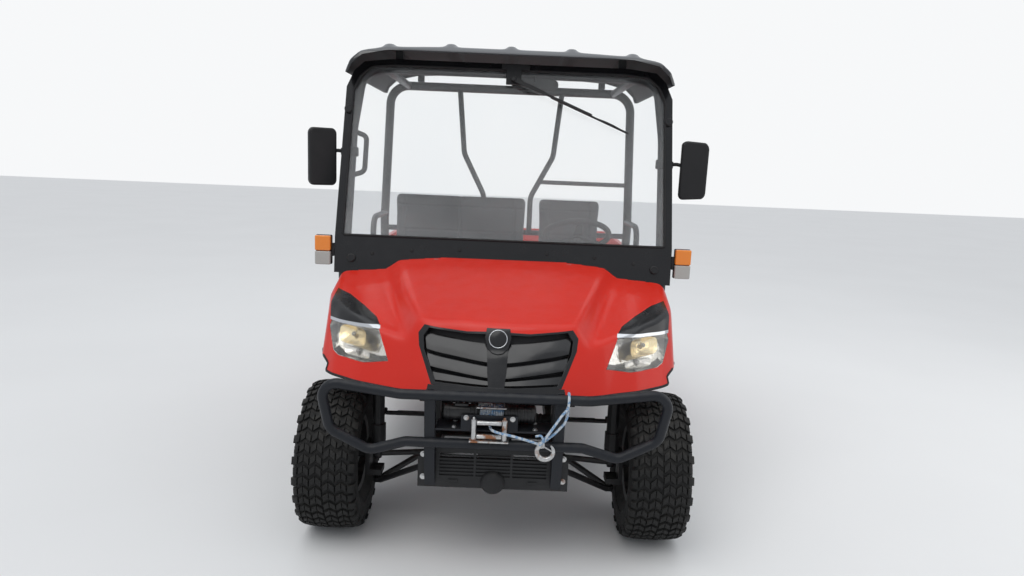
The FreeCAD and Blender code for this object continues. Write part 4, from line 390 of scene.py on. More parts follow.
def part_of(obj):
    # the object's mesh as a part; the object is removed
    part = [v.co * MM for v in obj.data.vertices], [list(p.vertices) for p in obj.data.polygons]
    bpy.data.objects.remove(obj)
    return part


# Parts: a part is a list of points and a list of faces
def joined(parts):
    verts, faces = [], []
    for v, f in parts:
        base = len(verts)
        verts += v
        faces += [[i + base for i in face] for face in f]
    return verts, faces


def circle(count, phase=0.0):
    return [(cos(phase + TURN * k / count), sin(phase + TURN * k / count)) for k in range(count)]


def stitched(rings, ends=True, closed=False):
    # rings of one count joined by quads, with capped ends or the last joined to the first
    n, count = len(rings[0]), len(rings)
    faces = []
    for i in range(count if closed else count - 1):
        a, b = i * n, (i + 1) % count * n
        faces += [[a + k, a + (k + 1) % n, b + (k + 1) % n, b + k] for k in range(n)]
    if ends and not closed:
        faces += [list(range(n))[::-1], [(count - 1) * n + k for k in range(n)]]
    return [p for ring in rings for p in ring], faces


def sweep(path, radius, sides=20, closed=False):
    # round section carried along a path without twisting
    path = [Vector(p) for p in path]
    last = len(path) - 1
    rings, tangent, normal = [], None, None
    for i, p in enumerate(path):
        back, on = p - path[i - 1], path[(i + 1) % len(path)] - p
        if closed:
            t = (on + back).normalized()
        elif 0 < i < last:
            t = (on.normalized() + back.normalized()).normalized()
        else:
            t = (back if i else on).normalized()
        if normal is None:
            normal = t.orthogonal().normalized()
        else:
            normal = (tangent.rotation_difference(t) @ normal).normalized()
        tangent, side = t, t.cross(normal)
        r = radius[i] if isinstance(radius, list) else radius
        rings.append([p + normal * (c * r) + side * (s * r) for c, s in circle(sides)])
    return stitched(rings, closed=closed)


def bent(points, radii, closed=False, step=7.0):
    # straight runs joined by round bends
    pts = [Vector(p) for p in points]
    n = len(pts)
    path = [] if closed else [pts[0]]
    for k, i in enumerate(range(n) if closed else range(1, n - 1)):
        p, u, w = pts[i], (pts[i - 1] - pts[i]).normalized(), (pts[(i + 1) % n] - pts[i]).normalized()
        half = u.angle(w) / 2
        reach = radii[k] / tan(half)
        centre = p + (u + w).normalized() * (radii[k] / sin(half))
        a, b = p + u * reach - centre, p + w * reach - centre
        turn = a.angle(b)
        count = max(2, ceil(degrees(turn) / step))
        for c in range(count + 1):
            t = turn * c / count
            path.append(centre + a * (sin(turn - t) / sin(turn)) + b * (sin(t) / sin(turn)))
    return path if closed else path + [pts[-1]]


def revolve(profile, segments, origin=(0, 0, 0), axis="x"):
    # closed profile of (along, radius) turned about an axis through the origin point
    rings = []
    for c, s in circle(segments):
        ring = [(x, r * s, r * c) if axis == "x" else (r * c, x, r * s) for x, r in profile]
        rings.append([Vector(p) + Vector(origin) for p in ring])
    return stitched(rings, closed=True)


def turned(a, b, profile, segments=32):
    # profile of (share of the way, radius) turned about the line from a to b
    a, b = Vector(a), Vector(b)
    x = (b - a).normalized().orthogonal().normalized()
    y = (b - a).normalized().cross(x)
    return stitched([[a.lerp(b, t) + x * (r * c) + y * (r * s) for c, s in circle(segments)] for t, r in profile])


def rod(a, b, r, segments=24, chamfer=1.5):
    length = (Vector(b) - Vector(a)).length
    c = min(chamfer, r * 0.4, length * 0.3)
    return turned(a, b, [(0, r - c), (c / length, r), (1 - c / length, r), (1, r - c)], segments)


def prism(points, direction):
    return stitched([[Vector(p) for p in points], [Vector(p) + Vector(direction) for p in points]])


def slab(x0, x1, y0, y1, z0, z1):
    x0, x1 = sorted((x0, x1))
    return prism([(x0, y0, z0), (x1, y0, z0), (x1, y1, z0), (x0, y1, z0)], (0, 0, z1 - z0))


def shifted(part, offset):
    return [Vector(v) + Vector(offset) for v in part[0]], part[1]


def mirror_x(part):
    return [(-x, y, z) for x, y, z in part[0]], [f[::-1] for f in part[1]]


def flip_x(points):
    return [(-p[0], *p[1:]) for p in reversed(points)]


def both_ways(half):
    return half + flip_x(half)


def bolt(centre, normal, r=8, head=6):
    # washer and hexagon head
    c, n = Vector(centre), Vector(normal).normalized()
    x = n.orthogonal().normalized()
    y = n.cross(x)
    corners = [c + n * 2 + x * (r * a) + y * (r * b) for a, b in circle(6)]
    return joined([rod(c, c + n * 2, r * 1.45, 20, 0.4), prism(corners, n * head)])


# Studio: pale floor, soft light, pale background for the camera
world = bpy.data.worlds.new("studio")
bpy.context.scene.world = world
world.use_nodes = True
tree = world.node_tree
background = tree.nodes["Background"]
shown = tree.nodes.new("ShaderNodeBackground")
for sky, colour, strength in ((background, (0.90, 0.94, 1.0, 1), 0.62), (shown, (0.93, 0.94, 0.95, 1), 1.0)):
    sky.inputs["Color"].default_value = colour
    sky.inputs["Strength"].default_value = strength
rays = tree.nodes.new("ShaderNodeLightPath").outputs
either = tree.nodes.new("ShaderNodeMath")
either.operation = "MAXIMUM"
tree.links.new(rays["Is Camera Ray"], either.inputs[0])
tree.links.new(rays["Is Transmission Ray"], either.inputs[1])
mixer = tree.nodes.new("ShaderNodeMixShader")
for index, output in enumerate((either.outputs[0], background.outputs[0], shown.outputs[0])):
    tree.links.new(output, mixer.inputs[index])
tree.links.new(mixer.outputs[0], tree.nodes["World Output"].inputs["Surface"])


def light(name, kind, power, colour):
    data = bpy.data.lights.new(name, kind)
    data.energy = power
    data.color = colour
    return data, linked(name, data)


def area_light(name, spot, target, size, power, colour):
    data, lamp = light(name, "AREA", power, colour)
    data.shape = "RECTANGLE"
    data.size, data.size_y = size
    lamp.location = spot
    lamp.rotation_euler = (Vector(target) - Vector(spot)).to_track_quat("-Z", "Y").to_euler()


sun_data, sun = light("soft_sun", "SUN", 0.85, (1.0, 0.985, 0.96))
sun_data.angle = radians(50)
sun.rotation_euler = Vector((-0.35, -0.45, 1.0)).to_track_quat("Z", "Y").to_euler()
area_light("sky_panel", (0.0, -1.0, 6.5), (0, -0.3, 0.8), (8, 8), 110, (0.95, 0.98, 1.0))
area_light("side_panel", (5.0, -1.0, 2.8), (0, 0, 0.9), (4, 3), 30, (1.0, 0.98, 0.95))

floor = Nodes("stage_floor")
floor.shade(Base_Color=floor.mix(floor.noise(0.8, 6.0), (0.78, 0.78, 0.775), (0.83, 0.83, 0.825)), Roughness=0.7)
floor.bump(floor.noise(120.0, 4.0), 0.0003)
FAR = 30000
ground = [(-FAR, -FAR, 0), (FAR, -FAR, 0), (FAR, FAR, 0), (-FAR, FAR, 0)]
coated(raw_object("stage_floor", (ground, [[0, 1, 2, 3]])), "stage_floor")


# Tyres: carcass with a moulded side wall, shoulder lugs and zigzag blocks
OUTER = 310
PITCHES = 44
PITCH = TURN / PITCHES
BARS = [
    # each leg of the zigzag is a block: share of the half width, share of a pitch
    [(0.025, 0.05), (0.195, 0.42), (0.195, 1.02), (0.025, 0.65)],
    [(0.215, 0.42), (0.385, 0.05), (0.385, 0.63), (0.215, 1.02)],
    [(0.425, 0.05), (0.585, 0.40), (0.585, 0.98), (0.425, 0.63)],
    [(0.605, 0.40), (0.745, 0.10), (0.745, 0.64), (0.605, 0.98)],
]
LONG_LUG = [(0.79, 0.08), (0.87, -0.04), (0.985, -0.04), (0.985, 0.66), (0.87, 0.68), (0.79, 0.72)]
SHORT_LUG = [(0.79, 0.10), (0.86, 0.0), (0.93, 0.0), (0.93, 0.62), (0.86, 0.64), (0.79, 0.70)]


def tyre_parts(width):
    w = width / 2

    def crown(x):
        return OUTER - 13 * (abs(x) / w) ** 3

    def block(corners):
        # tops follow the crown, walls taper
        n = len(corners)
        cx, ca = (sum(c[i] for c in corners) / n for i in (0, 1))
        rings = []
        for drop, grow in ((0, -1.6), (1.2, 0), (11, 1.6)):
            ring = []
            for x, a in corners:
                far = hypot(x - cx, (a - ca) * PITCH * OUTER)
                k = (far + grow) / far
                x = cx + (x - cx) * k
                r = crown(x) - drop
                if abs(x) > w - 12:
                    r = min(r, OUTER - 16 - drop)
                angle = (ca + (a - ca) * k) * PITCH
                ring.append((x, r * sin(angle), r * cos(angle)))
            rings.append(ring)
        verts, faces = stitched(rings, ends=False)
        return verts, [list(range(n))] + faces

    wall = [(83, 154), (89, 163), (94, 178), (w - 12, 198), (w - 3, 218)]
    wall += [(w, 236), (w - 2, 256), (w - 7, 274), (w - 17, 288)]
    top = [(w - 24) * (1 - i / 6) for i in range(13)]
    parts = [revolve([(-83, 154)] + wall + [(x, crown(x) - 9.5) for x in top] + flip_x(wall[1:]), 96)]
    for side in (1, -1):
        # thin moulded rings on the side walls
        for r, x in ((206, w - 8), (262, w - 3.5)):
            parts.append(revolve([(side * x + 2.2 * c, r + 2.2 * s) for c, s in circle(6)], 96))
        bite = [(side * (w - d), r) for d, r in ((6, 288), (0.5, 262), (12, 262), (20, 288))]
        for k in range(PITCHES):
            shift = k if side > 0 else k + 0.5
            for rows in BARS + [SHORT_LUG if k % 2 else LONG_LUG]:
                parts.append(block([(side * x * w, a + shift) for x, a in rows]))
            if k % 2 == 0:
                # biter on the side wall below a long lug
                ends = [(shift + a) * PITCH for a in (-0.02, 0.64)]
                corners = [(x, r * sin(a), r * cos(a)) for x, r in bite for a in ends]
                parts.append((corners, [[0, 1, 3, 2], [0, 2, 4, 6], [1, 7, 5, 3], [2, 3, 5, 4], [0, 6, 7, 1]]))
    return joined(parts)


# Rim: rolled barrel, dished disc with six windows, hub
BARREL = [
    (-89, 164), (-85, 158), (-83, 152), (-40, 152), (-34, 146), (-28, 134), (24, 134), (32, 138), (38, 150), (44, 152),
    (83, 152), (85, 158), (89, 164), (90.5, 164), (90, 156), (85, 147), (46, 146), (38, 143), (30, 128), (-30, 128),
    (-38, 145), (-85, 146), (-90, 156), (-90.5, 164),
]
DISC = [
    (6, 128.5), (17, 128.5), (21, 118), (22, 100), (18, 86), (12, 74), (13, 60), (24, 55), (25, 44), (25, 2),
    (10.01, 2), (10.01, 52), (4, 62), (3, 75), (9, 88), (13, 102), (12, 116),
]
WINDOW = [(-16, 89), (16, 89), (21, 96), (23, 110), (18, 116), (-18, 116), (-23, 110), (-21, 96)]
disc = raw_object("disc", revolve(DISC, 72))
windows = [prism([(-20, r * s + d * c, r * c - d * s) for d, r in WINDOW], (80, 0, 0)) for c, s in circle(6)]
cut_with(disc, joined(windows))
rim = joined([
    revolve(BARREL, 72),
    part_of(disc),
    turned((-80, 0, 0), (9.5, 0, 0), [(0, 36), (0.02, 43), (0.5, 44), (1, 44)], 40),
    turned((24, 0, 0), (40, 0, 0), [(0, 30), (0.7, 30), (0.9, 27), (1, 20)], 40),
])
nuts = joined([bolt((24.5, 41 * s, 41 * c), (1, 0, 0), 8.5, 11) for c, s in circle(4, 0.4)])
for end in ("front_", "rear_"):
    for side, label in SIDES:
        spot = end + label
        low, high = (Vector(v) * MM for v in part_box("tyre_" + spot))
        centre = (low + high) / 2
        body = "wheel_" + spot
        tread = shifted(tyre_parts(high.x - low.x), centre)
        build("tread_" + spot, [tread], "tyre", body=body, angle=32, node="tyre_" + spot)
        here = [shifted(part if side > 0 else mirror_x(part), centre) for part in (rim, nuts)]
        build("wheel_rim_" + spot, here[:1], "rim_paint", body=body, angle=35, node="rim_" + spot)
        build("wheel_nuts_" + spot, here[1:], "bare_steel", body)


# Front guard: bent tube ring, posts, winch plate with its flange
def guard_point(x, z):
    return x, -1478 - (z - 740) * 0.115, z


# x, z and bend radius of one half of the ring
RING = both_ways([(346, 726, 140), (638, 767, 55), (605, 576, 60), (460, 497, 60), (327, 537, 60)])
ring_path = bent([guard_point(x, z) for x, z, r in RING], [r for x, z, r in RING], True)
build("guard_ring", [sweep(ring_path, 18.8, 24, True)], "tube_paint", angle=60, node="front_guard")
POST_SIDE = [(-1405, 345), (-1405, 520), (-1443, 722), (-1477, 731), (-1454, 537), (-1444, 430)]
plates = [prism([(x - 20, y, z) for y, z in POST_SIDE], (40, 0, 0)) for x in (238, -238)]
build("guard_plates", plates + [slab(-218, 218, -1460, -1353, 586, 594)], "tube_paint", bevel=3, segments=3)
flange = raw_object("guard_flange", slab(-124, 86, -1460, -1452, 590, 650))
cut_with(flange, slab(-79, 41, -1470, -1440, 589, 625))
place(coated(flange, "tube_paint", bevel=1.5), "chassis")
welds, fixings = [], []
for s in (1, -1):
    for z0 in (728, 540):
        x0, y0, z0 = guard_point(s * 238, z0)
        bead = [(x0 + 20 * c, y0 + 16, z0 + 17 * b) for c, b in circle(40) + [(1, 0)]]
        welds.append(sweep(bead, [2.6 + 0.8 * sin(k * 2.3) for k in range(41)], 6))
    for z in (380, 470):
        fixings.append(bolt((s * 265, -1405.2, z), (0, -1, 0)))
    for y in (-1440, -1372):
        fixings.append(bolt((s * 150, y, 594), (0, 0, 1), 7, 5))
fixings += [bolt((x, -1460, 640), (0, -1, 0), 7, 5) for x in (-104, 66)]
build("guard_welds", welds, "tube_paint", angle=80)
build("guard_bolts", fixings, "zinc")

# Winch: motor with bands, drum flanges, gearbox with ribs, tie rods and feet
WY, WZ = -1398, 640


def around_x(x0, x1, profile):
    return turned((x0, WY, WZ), (x1, WY, WZ), profile, 40)


CHEEK = [(0, 38), (0.15, 40), (0.85, 40), (1, 38)]
MOTOR = [(0, 20), (0, 27), (0.03, 31), (0.10, 31), (0.11, 32.5), (0.20, 32.5)]
MOTOR += [(0.21, 31), (0.86, 31), (0.87, 33), (1, 33)]
gears = [(0, 36)]
for k in range(7):
    a, b = 0.06 + k * 0.12, 0.12 + k * 0.12
    gears += [(a, 36), (a + 0.005, 33.5), (b, 33.5), (b + 0.005, 36)]
gears += [(0.93, 35), (0.97, 31), (1, 24)]
winch = [around_x(-191, -76, MOTOR), around_x(-76, -64, CHEEK), around_x(-64, 36, [(0, 20), (1, 20)])]
winch += [around_x(36, 48, CHEEK), around_x(48, 153, gears)]
build("winch_body", winch, "winch_black", angle=35, node="winch")
feet = [slab(x, x + 12, -1428, -1368, 594.2, 640) for x in (-76, 36)] + [slab(-150, -100, -1420, -1380, 668, 678)]
build("winch_feet", feet, "winch_black", bevel=2)
terminals = [rod((-70, y, z), (42, y, z), 4.2, 14) for y, z in ((-1430, 668), (-1436, 616), (-1370, 665))]
terminals += [bolt((x, -1400, 672), (0, 0, 1), 4.5, 6) for x in (-140, -118)]
build("winch_terminals", terminals, "zinc")
leads = []
for x, dy in ((-140, 0), (-118, 6)):
    pts = [(x, -1400, 680), (x, -1396, 694), (x - 14, -1372 + dy, 694), (x - 26, -1350, 660), (x - 30, -1340, 598)]
    leads.append(sweep(bent(pts, [10, 12, 20], step=12), 4.2, 10))
build("winch_leads", leads, "rubber", angle=70)


# Rope: two layers of turns on the drum, taut run through the fairlead, hook and loop over the tube
def drum_turns(count, start, pitch, reach, phase):
    path = []
    for k in range(count * 22 + 1):
        a = TURN * k / 22 + phase
        path.append((start + pitch * k / 22, WY + reach * sin(a), WZ + reach * cos(a)))
    return path


def eased(points, most):
    # bends as large as their runs allow
    points = [Vector(p) for p in points]
    radii = []
    for p, q, r in zip(points, points[1:], points[2:]):
        u, w = q - p, r - q
        radii.append(min(most, 0.45 * min(u.length, w.length) / tan(u.angle(w) / 2)))
    return bent(points, radii, step=8)


RUN = [
    (-19, -1400, 612), (-19, -1440, 606), (-10, -1482, 602), (22, -1503, 600), (60, -1508, 596), (118, -1509, 581),
    (168, -1508, 566),
]
LOOP = [
    (171, -1514, 570), (205, -1513, 622), (241, -1508, 678), (264, -1500.4, 704), (265, -1500.4, 750),
    (266, -1452.4, 750), (266, -1452.4, 712), (265, -1484.4, 674), (253, -1496, 644), (219, -1504, 608),
    (171, -1504, 566),
]
TAIL = [(166, -1518, 566), (178, -1522, 590), (170, -1520, 606), (150, -1516, 600)]
lay = [sweep(drum_turns(11, -59.5, 8.3, 24.3, 0), 4.2, 8), sweep(drum_turns(5, 30, -8.6, 30.5, 0.6), 4, 8)]
lay += [sweep(eased(RUN, 200), 4.8, 12), sweep(eased(LOOP, 24), 4.8, 12), sweep(bent(TAIL, [8, 8], step=12), 4, 10)]
build("winch_rope_lay", lay, "rope_blue", angle=70, node="winch_rope")
arc = [radians(118 + 292 * k / 32) for k in range(33)]
arc = [(187 + 30 * cos(a), -1507, 540 + 30 * sin(a)) for a in arc]
thick = [7.5 + 2.2 * sin(pi * min(1, k / 26)) - 4.5 * max(0, k - 27) / 5 for k in range(33)]
hook = [
    sweep(arc, thick, 16),
    revolve([(-6, 7.5), (-4, 13.5), (4, 13.5), (6, 7.5)], 24, (171, -1508, 566), "y"),
    sweep([(176, -1507, 560), (180, -1507, 556), (174, -1507, 568)], 6, 10),
    sweep([(178, -1507, 560), (206, -1507, 545), (214, -1507, 538)], 2.8, 8),
]
build("hook_body", hook, "zinc", angle=60, node="winch_hook")

# Fairlead: lower cheek and four rollers with their pins
build("fairlead_body", [slab(-91, 53, -1494, -1466, 557, 563)], "zinc", bevel=1.5, node="fairlead")
ROLLER = [(0, 8.5), (0.04, 10), (0.3, 9.4), (0.5, 9), (0.7, 9.4), (0.96, 10), (1, 8.5)]
rollers = []
for x in (-75, 37):
    rollers.append(turned((x, -1480, 564), (x, -1480, 642), ROLLER, 28))
    rollers.append(rod((x, -1480, 555), (x, -1480, 651), 5, 14))
for z in (577, 629):
    rollers.append(turned((-64, -1480, z), (26, -1480, z), [(t, r * 0.9) for t, r in ROLLER], 28))
build("fairlead_rollers", rollers, "zinc")

# Radiator guard: pressed plate with fine slots, round bump and two small plates
half = [(218, 503), (218, 376), (90, 346)]
plate = raw_object("radiator_plate", prism([(x, -1411, z) for x, z in both_ways(half)], (0, 5.8, 0)))
slots = [slab(x - 64, x + 64, -1420, -1400, z, z + 7) for z in range(390, 488, 14) for x in (-138, 0, 138)]
cut_with(plate, joined(slots))
place(coated(plate, "black_plastic", bevel=1, segments=1), "chassis", "radiator_guard")
dome = [(-1411 - 26 * sin(pi * k / 16), max(0.5, 46 * cos(pi * k / 16))) for k in range(9)]
verts, faces = stitched([[(r * s, y, 368 + r * c) for c, s in circle(40)] for y, r in dome], ends=False)
build("guard_bump", [(verts, [list(range(40))] + faces)], "rubber", angle=60)
small = [slab(x - 18, x + 18, -1415, -1411, 366, 376) for x in (150, -150)]
build("guard_small_plates", small, "black_plastic", bevel=1.5)

# Bonnet: one soft-edged moulding
LOWER = [(0, -1445), (243, -1424), (411, -1350), (560, -1276), (665, -1196), (732, -1110), (752, -1010), (752, -640)]
UPPER = [(0, -1300), (243, -1288), (411, -1222), (560, -1132), (655, -1052), (716, -980), (738, -900), (745, -640)]
LOW_Z, RISE = 704, 296
WING = both_ways([(566, 1070), (715, 1058), (740, 1042), (752, 1000), (790, 600)])
RAISED = (
    # y, then the section of the raised middle there
    (-640, [(300, 1149), (498, 1131), (572, 1081), (572, 900)]),
    (-1350, [(170, 950), (280, 944), (322, 880), (322, 640)]),
)


def loft(rings):
    verts, faces = stitched(rings)
    return verts, faces[-2:] + [f for a, b, c, d in faces[:-2] for f in ([a, b, c], [a, c, d])]


def ruled():
    rings = []
    for z in (640, 1200):
        k = (z - LOW_Z) / RISE
        half = [(a[0] + (b[0] - a[0]) * k, a[1] + (b[1] - a[1]) * k, z) for a, b in zip(LOWER, UPPER)]
        rings.append(half + flip_x(half[1:]))
    return loft(rings)


shell = raw_object("bonnet_moulding", ruled())
wedge = [[(x, y, z + (y + 720) * 0.32 if z > 700 else z) for x, z in WING] for y in (-1500, -640)]
cut_with(shell, loft(wedge), "INTERSECT")
raised = raw_object("raised", loft([[(x, y, z) for x, z in both_ways(half)] for y, half in RAISED]))
cut_with(raised, ruled(), "INTERSECT")
cut_with(shell, part_of(raised), "UNION")
voxel(shell, 8)
relax(shell, 22)
NOSE = bvh_of(shell)


def nose_y(x, z, fallback=None):
    hit = NOSE.ray_cast(Vector((x / MM, -2.5, z / MM)), Vector((0, 1, 0)))[0]
    return hit.y * MM if hit else fallback


def screen_y(z):
    return -690 + (z - 1150) * 0.2824


GRILLE = [
    (-243, 744), (-90, 737), (90, 737), (243, 744), (300, 870), (306, 915), (284, 946), (120, 932), (0, 936),
    (-120, 932), (-284, 946), (-306, 915), (-300, 870),
]
LAMP = [(418, 797), (520, 776), (640, 778), (668, 790), (704, 868), (696, 897), (468, 904)]


def shrunk(loop, share, rise):
    # grille's outline drawn in towards its middle
    return [(x * share, z + (rise if z < 800 else -rise)) for x, z in loop]


def strip_edges(work):
    gone = []
    for f in work.faces:
        c = f.calc_center_median() * MM
        if c.z < 700 or c.y > screen_y(c.z) - 24:
            gone.append(f)
    bmesh.ops.delete(work, geom=gone, context="FACES")
    face_out(work)


rework(shell.data, strip_edges)
thicken(shell, 3.5)
ARCH = [(-1180, 560), (-1150, 735), (-1100, 752), (-500, 752), (-500, 560)]
REAR = [(screen_y(600) - 22, 600), (screen_y(1250) - 22, 1250), (-400, 1250), (-400, 600)]
for outline in (ARCH, REAR):
    cut_with(shell, prism([(-900, y, z) for y, z in outline], (1800, 0, 0)))
cut_with(shell, slab(-900, 900, -1600, -1050, 560, 704))
cut_with(shell, prism([(x, -1600, z) for x, z in shrunk(GRILLE, 0.965, 4)], (0, 420, 0)))
for loop in (LAMP, flip_x(LAMP)):
    cut_with(shell, prism([(x, -1500, z) for x, z in loop], (0, 500, 0)))
place(coated(shell, "body_red", 32), "bonnet", "bonnet")


def laid(name, part, look, thick, bevel, segments, edge, node):
    # sheet in front of the moulding, thickened backwards
    obj = raw_object(name, part)
    for p in obj.data.polygons:
        if p.normal.y > 0:
            p.flip()
    thicken(obj, thick)
    place(coated(obj, look, 35, bevel, segments, edge), "bonnet", node)


def drape(name, loop, look, out, thick, step=12, bevel=0.8, node=None):
    # plate laid on the nose: out is how far its face stands proud of the moulding
    work = bmesh.new()
    work.faces.new([work.verts.new((x, 0, z)) for x, z in loop])
    for index, axis in ((0, Vector((1, 0, 0))), (1, Vector((0, 0, 1)))):
        values = [p[index] for p in loop]
        value = min(values) + step
        while value < max(values):
            geom = work.verts[:] + work.edges[:] + work.faces[:]
            bmesh.ops.bisect_plane(work, geom=geom, plane_co=axis * value, plane_no=axis, dist=0.001)
            value += step
    work.verts.index_update()
    last, front = -1200, []
    for v in work.verts:
        y = nose_y(v.co.x, v.co.z)
        if y is None:
            y = NOSE.find_nearest(Vector((v.co.x, last, v.co.z)) / MM)[0].y * MM
        last = y
        front.append((v.co.x, y - out, v.co.z))
    faces = [[v.index for v in f.verts] for f in work.faces]
    work.free()
    laid(name, (front, faces), look, thick, bevel, 1, 50, node)


# Dark gloss inserts and bright strips above the headlamps, lamps with two reflectors, rubber lip
INSERT = [(470, 916), (492, 934), (560, 962), (640, 988), (706, 1001), (712, 960), (704, 906)]
STRIP = [(464, 906), (468, 917), (704, 907), (702, 895)]
REFLECTORS = (
    # tag, x, z, half width, half height, depth, look
    ("main", 585, 858, 62, 34, 30, "warm_reflector"), ("low", 556, 803, 58, 17, 22, "reflector"),
)
BULB = [(0, 9), (0.3, 9), (0.32, 6), (0.85, 5.5), (1, 2)]
lip = []
for s, label in SIDES:
    turn = list if s > 0 else flip_x
    first = s > 0
    drape("lamp_insert_" + label, turn(INSERT), "gloss_black", 3.5, 6, 6)
    drape("lamp_strip_" + label, turn(STRIP), "chrome_trim", 4.5, 7, step=6, node="lamp_trims" if first else None)
    drape("lamp_lens_" + label, turn(LAMP), "lamp_clear", -0.5, 2.5, node="headlamps" if first else None)
    front, back = [], []
    for x, z in turn([(x + (568 - x) * 0.015, z + (845 - z) * 0.015) for x, z in LAMP]):
        y = nose_y(x, z, -1150)
        front.append((x, y + 3.5, z))
        back.append((s * 568 + (x - s * 568) * 0.90, y + 55, 845 + (z - 845) * 0.88))
    n = len(front)
    verts, faces = stitched([front, back], ends=False)
    build("lamp_bowl_" + label, [(verts, faces + [list(range(n, 2 * n))])], "reflector", body="bonnet", angle=30)
    for tag, cx, cz, rx, rz, depth, look in REFLECTORS:
        cx *= s
        base = nose_y(cx, cz, -1150)
        tilt = (nose_y(cx + s * 40, cz, base) - nose_y(cx - s * 40, cz, base)) / 80 * s
        lean = (nose_y(cx, cz + 12, base) - nose_y(cx, cz - 12, base)) / 24
        base += 18
        rings = []
        for r in range(10):
            f = r / 9
            ring = []
            for c, b in circle(36):
                x, z = (f * half * copysign(abs(v) ** 0.55, v) for half, v in ((s * rx, c), (rz, b)))
                ring.append((cx + x, base + tilt * x + lean * z + depth * (1 - f * f), cz + z))
            rings.append(ring)
        build("lamp_%s_reflector_%s" % (tag, label), [stitched(rings, ends=False)], look, body="bonnet", angle=60)
        bulb = turned((cx, base + depth, cz), (cx, base + depth * 0.25, cz), BULB, 20)
        build("lamp_%s_bulb_%s" % (tag, label), [bulb], "white_lens", "bonnet", 50)
    edge = []
    for i in range(24):
        x = (250 + 440 * i / 23) * s
        edge.append((x, nose_y(x, 708.5, -1200) + 1, 704.5))
    for y, z in ((-1154.5, 710), (-1150.5, 733), (-1139, 739), (-1100, 752), (-1000, 752), (-900, 752), (-840, 752)):
        hit = NOSE.ray_cast(Vector((s * 1200, y, z + 2)) / MM, Vector((-s, 0, 0)))[0]
        edge.append((hit.x * MM - s, y, z))
    lip.append(sweep(edge, 5.8, 10))
build("bonnet_lip", lip, "rubber", body="bonnet", angle=70)


# Grille: surround, slanting blades, middle bar, bare shield with a bright ring
def divided(loop, counts):
    pts = []
    for i, count in enumerate(counts):
        p, q = Vector(loop[i]), Vector(loop[(i + 1) % len(loop)])
        pts += [tuple(p.lerp(q, k / count)) for k in range(count)]
    return pts


counts = []
for p, q in zip(GRILLE, GRILLE[1:] + GRILLE[:1]):
    counts.append(max(1, int(hypot(q[0] - p[0], q[1] - p[1]) / 14)))
rings = []
for loop in (GRILLE, shrunk(GRILLE, 0.93, 9)):
    rings.append([(x, nose_y(x, z, -1300) - 1.2, z) for x, z in divided(loop, counts)])
laid("grille_surround", stitched(rings, ends=False), "grille_black", 12, 1.5, 2, 40, "grille")
BLADES = [
    # z and half height at the middle bar, then at the outer end
    (856, 32, 890, 32), (794, 22, 826, 24), (757, 9, 775, 18),
]
for index, (z0, h0, z1, h1) in enumerate(BLADES):
    halves = []
    for s in (1, -1):
        rings = []
        for k in range(15):
            t = k / 14
            z, h = z0 + (z1 - z0) * t ** 1.25, h0 + (h1 - h0) * t
            ring = []
            for dy, dz in ((6, h * 0.55), (15, h - 2), (19, h - 3), (22, 0), (18, -h + 2), (3, -h), (0, -h + 3)):
                x = s * (26 + (256 - 0.2 * (926 - z - dz)) * t)
                ring.append((x, nose_y(x, z + dz, -1350) + 6 + dy, z + dz))
            rings.append(ring)
        halves.append(stitched(rings))
    build("grille_blade_%d" % index, halves, "grille_black", body="bonnet", angle=28)
MIDDLE_BAR = [(-30, 742), (30, 742), (36, 800), (40, 880), (-40, 880), (-36, 800)]
SHIELD = [(-44, 948), (44, 948), (50, 915), (40, 878), (20, 862), (0, 858), (-20, 862), (-40, 878), (-50, 915)]
CHIN = [(-262, 706), (262, 706), (254, 744), (-254, 744)]
drape("grille_middle_bar", MIDDLE_BAR, "grille_black", -3, 14, bevel=2)
drape("grille_shield", SHIELD, "gloss_black", 4, 8, bevel=2)
drape("grille_back", shrunk(GRILLE, 0.95, 4), "black_plastic", -34, 3, 30, 0)
drape("grille_chin", CHIN, "grille_black", 3, 6, step=8, bevel=1.5)
slope = (nose_y(0, 930, -1330) - nose_y(0, 890, -1350)) / 40
face_dir = Vector((0, -1, slope)).normalized()
face_up = face_dir.cross(Vector((1, 0, 0)))
spot = Vector((0, nose_y(0, 911, -1350) - 4, 911))
top = spot + face_dir * 2.8
build("badge_disc", [turned(spot, top, [(0, 35), (0.7, 35), (1, 33.5)], 48)], "gloss_black", "bonnet")
badge = [top + Vector((33.5 * c, 0, 0)) + face_up * (33.5 * b) for c, b in circle(48)]
build("badge_ring", [sweep(badge, 1.7, 8, True)], "chrome_trim", body="bonnet", angle=70)


# Windscreen: frame with soft edges, round seal, knobs and panel details
LEAN = atan(0.2824)
OUTWARD = Vector((0, -cos(LEAN), sin(LEAN)))


def on_screen(x, z, back=0):
    return Vector((x, screen_y(z) + back, z))


dress("windscreen_frame", 2.5, 3)
seal = [on_screen(x, z, -1) for x, z in both_ways([(741, 1209), (732, 1870), (706, 1938), (652, 1984), (540, 1994)])]
seal_bends = [12, 80, 50, 50, 120]
seal = bent(seal, seal_bends + seal_bends[::-1], True, step=10)
build("screen_seal", [sweep(seal, 5.5, 10, True)], "rubber", angle=80)
KNOB = [(0, 19), (0.15, 19.5), (0.75, 19.5), (0.95, 17), (1, 13)]
knobs = [on_screen(s * x, z) for x, z in ((749, 1781), (694, 1105)) for s in (1, -1)]
build("screen_knobs", [turned(p, p + OUTWARD * 13.5, KNOB, 40) for p in knobs], "black_plastic")
studs = [on_screen(s * x, z) for x, z in ((600, 1130), (420, 1150), (200, 1160)) for s in (1, -1)]
build("panel_bolts", [bolt(p, OUTWARD, 6, 4) for p in studs], "black_plastic")

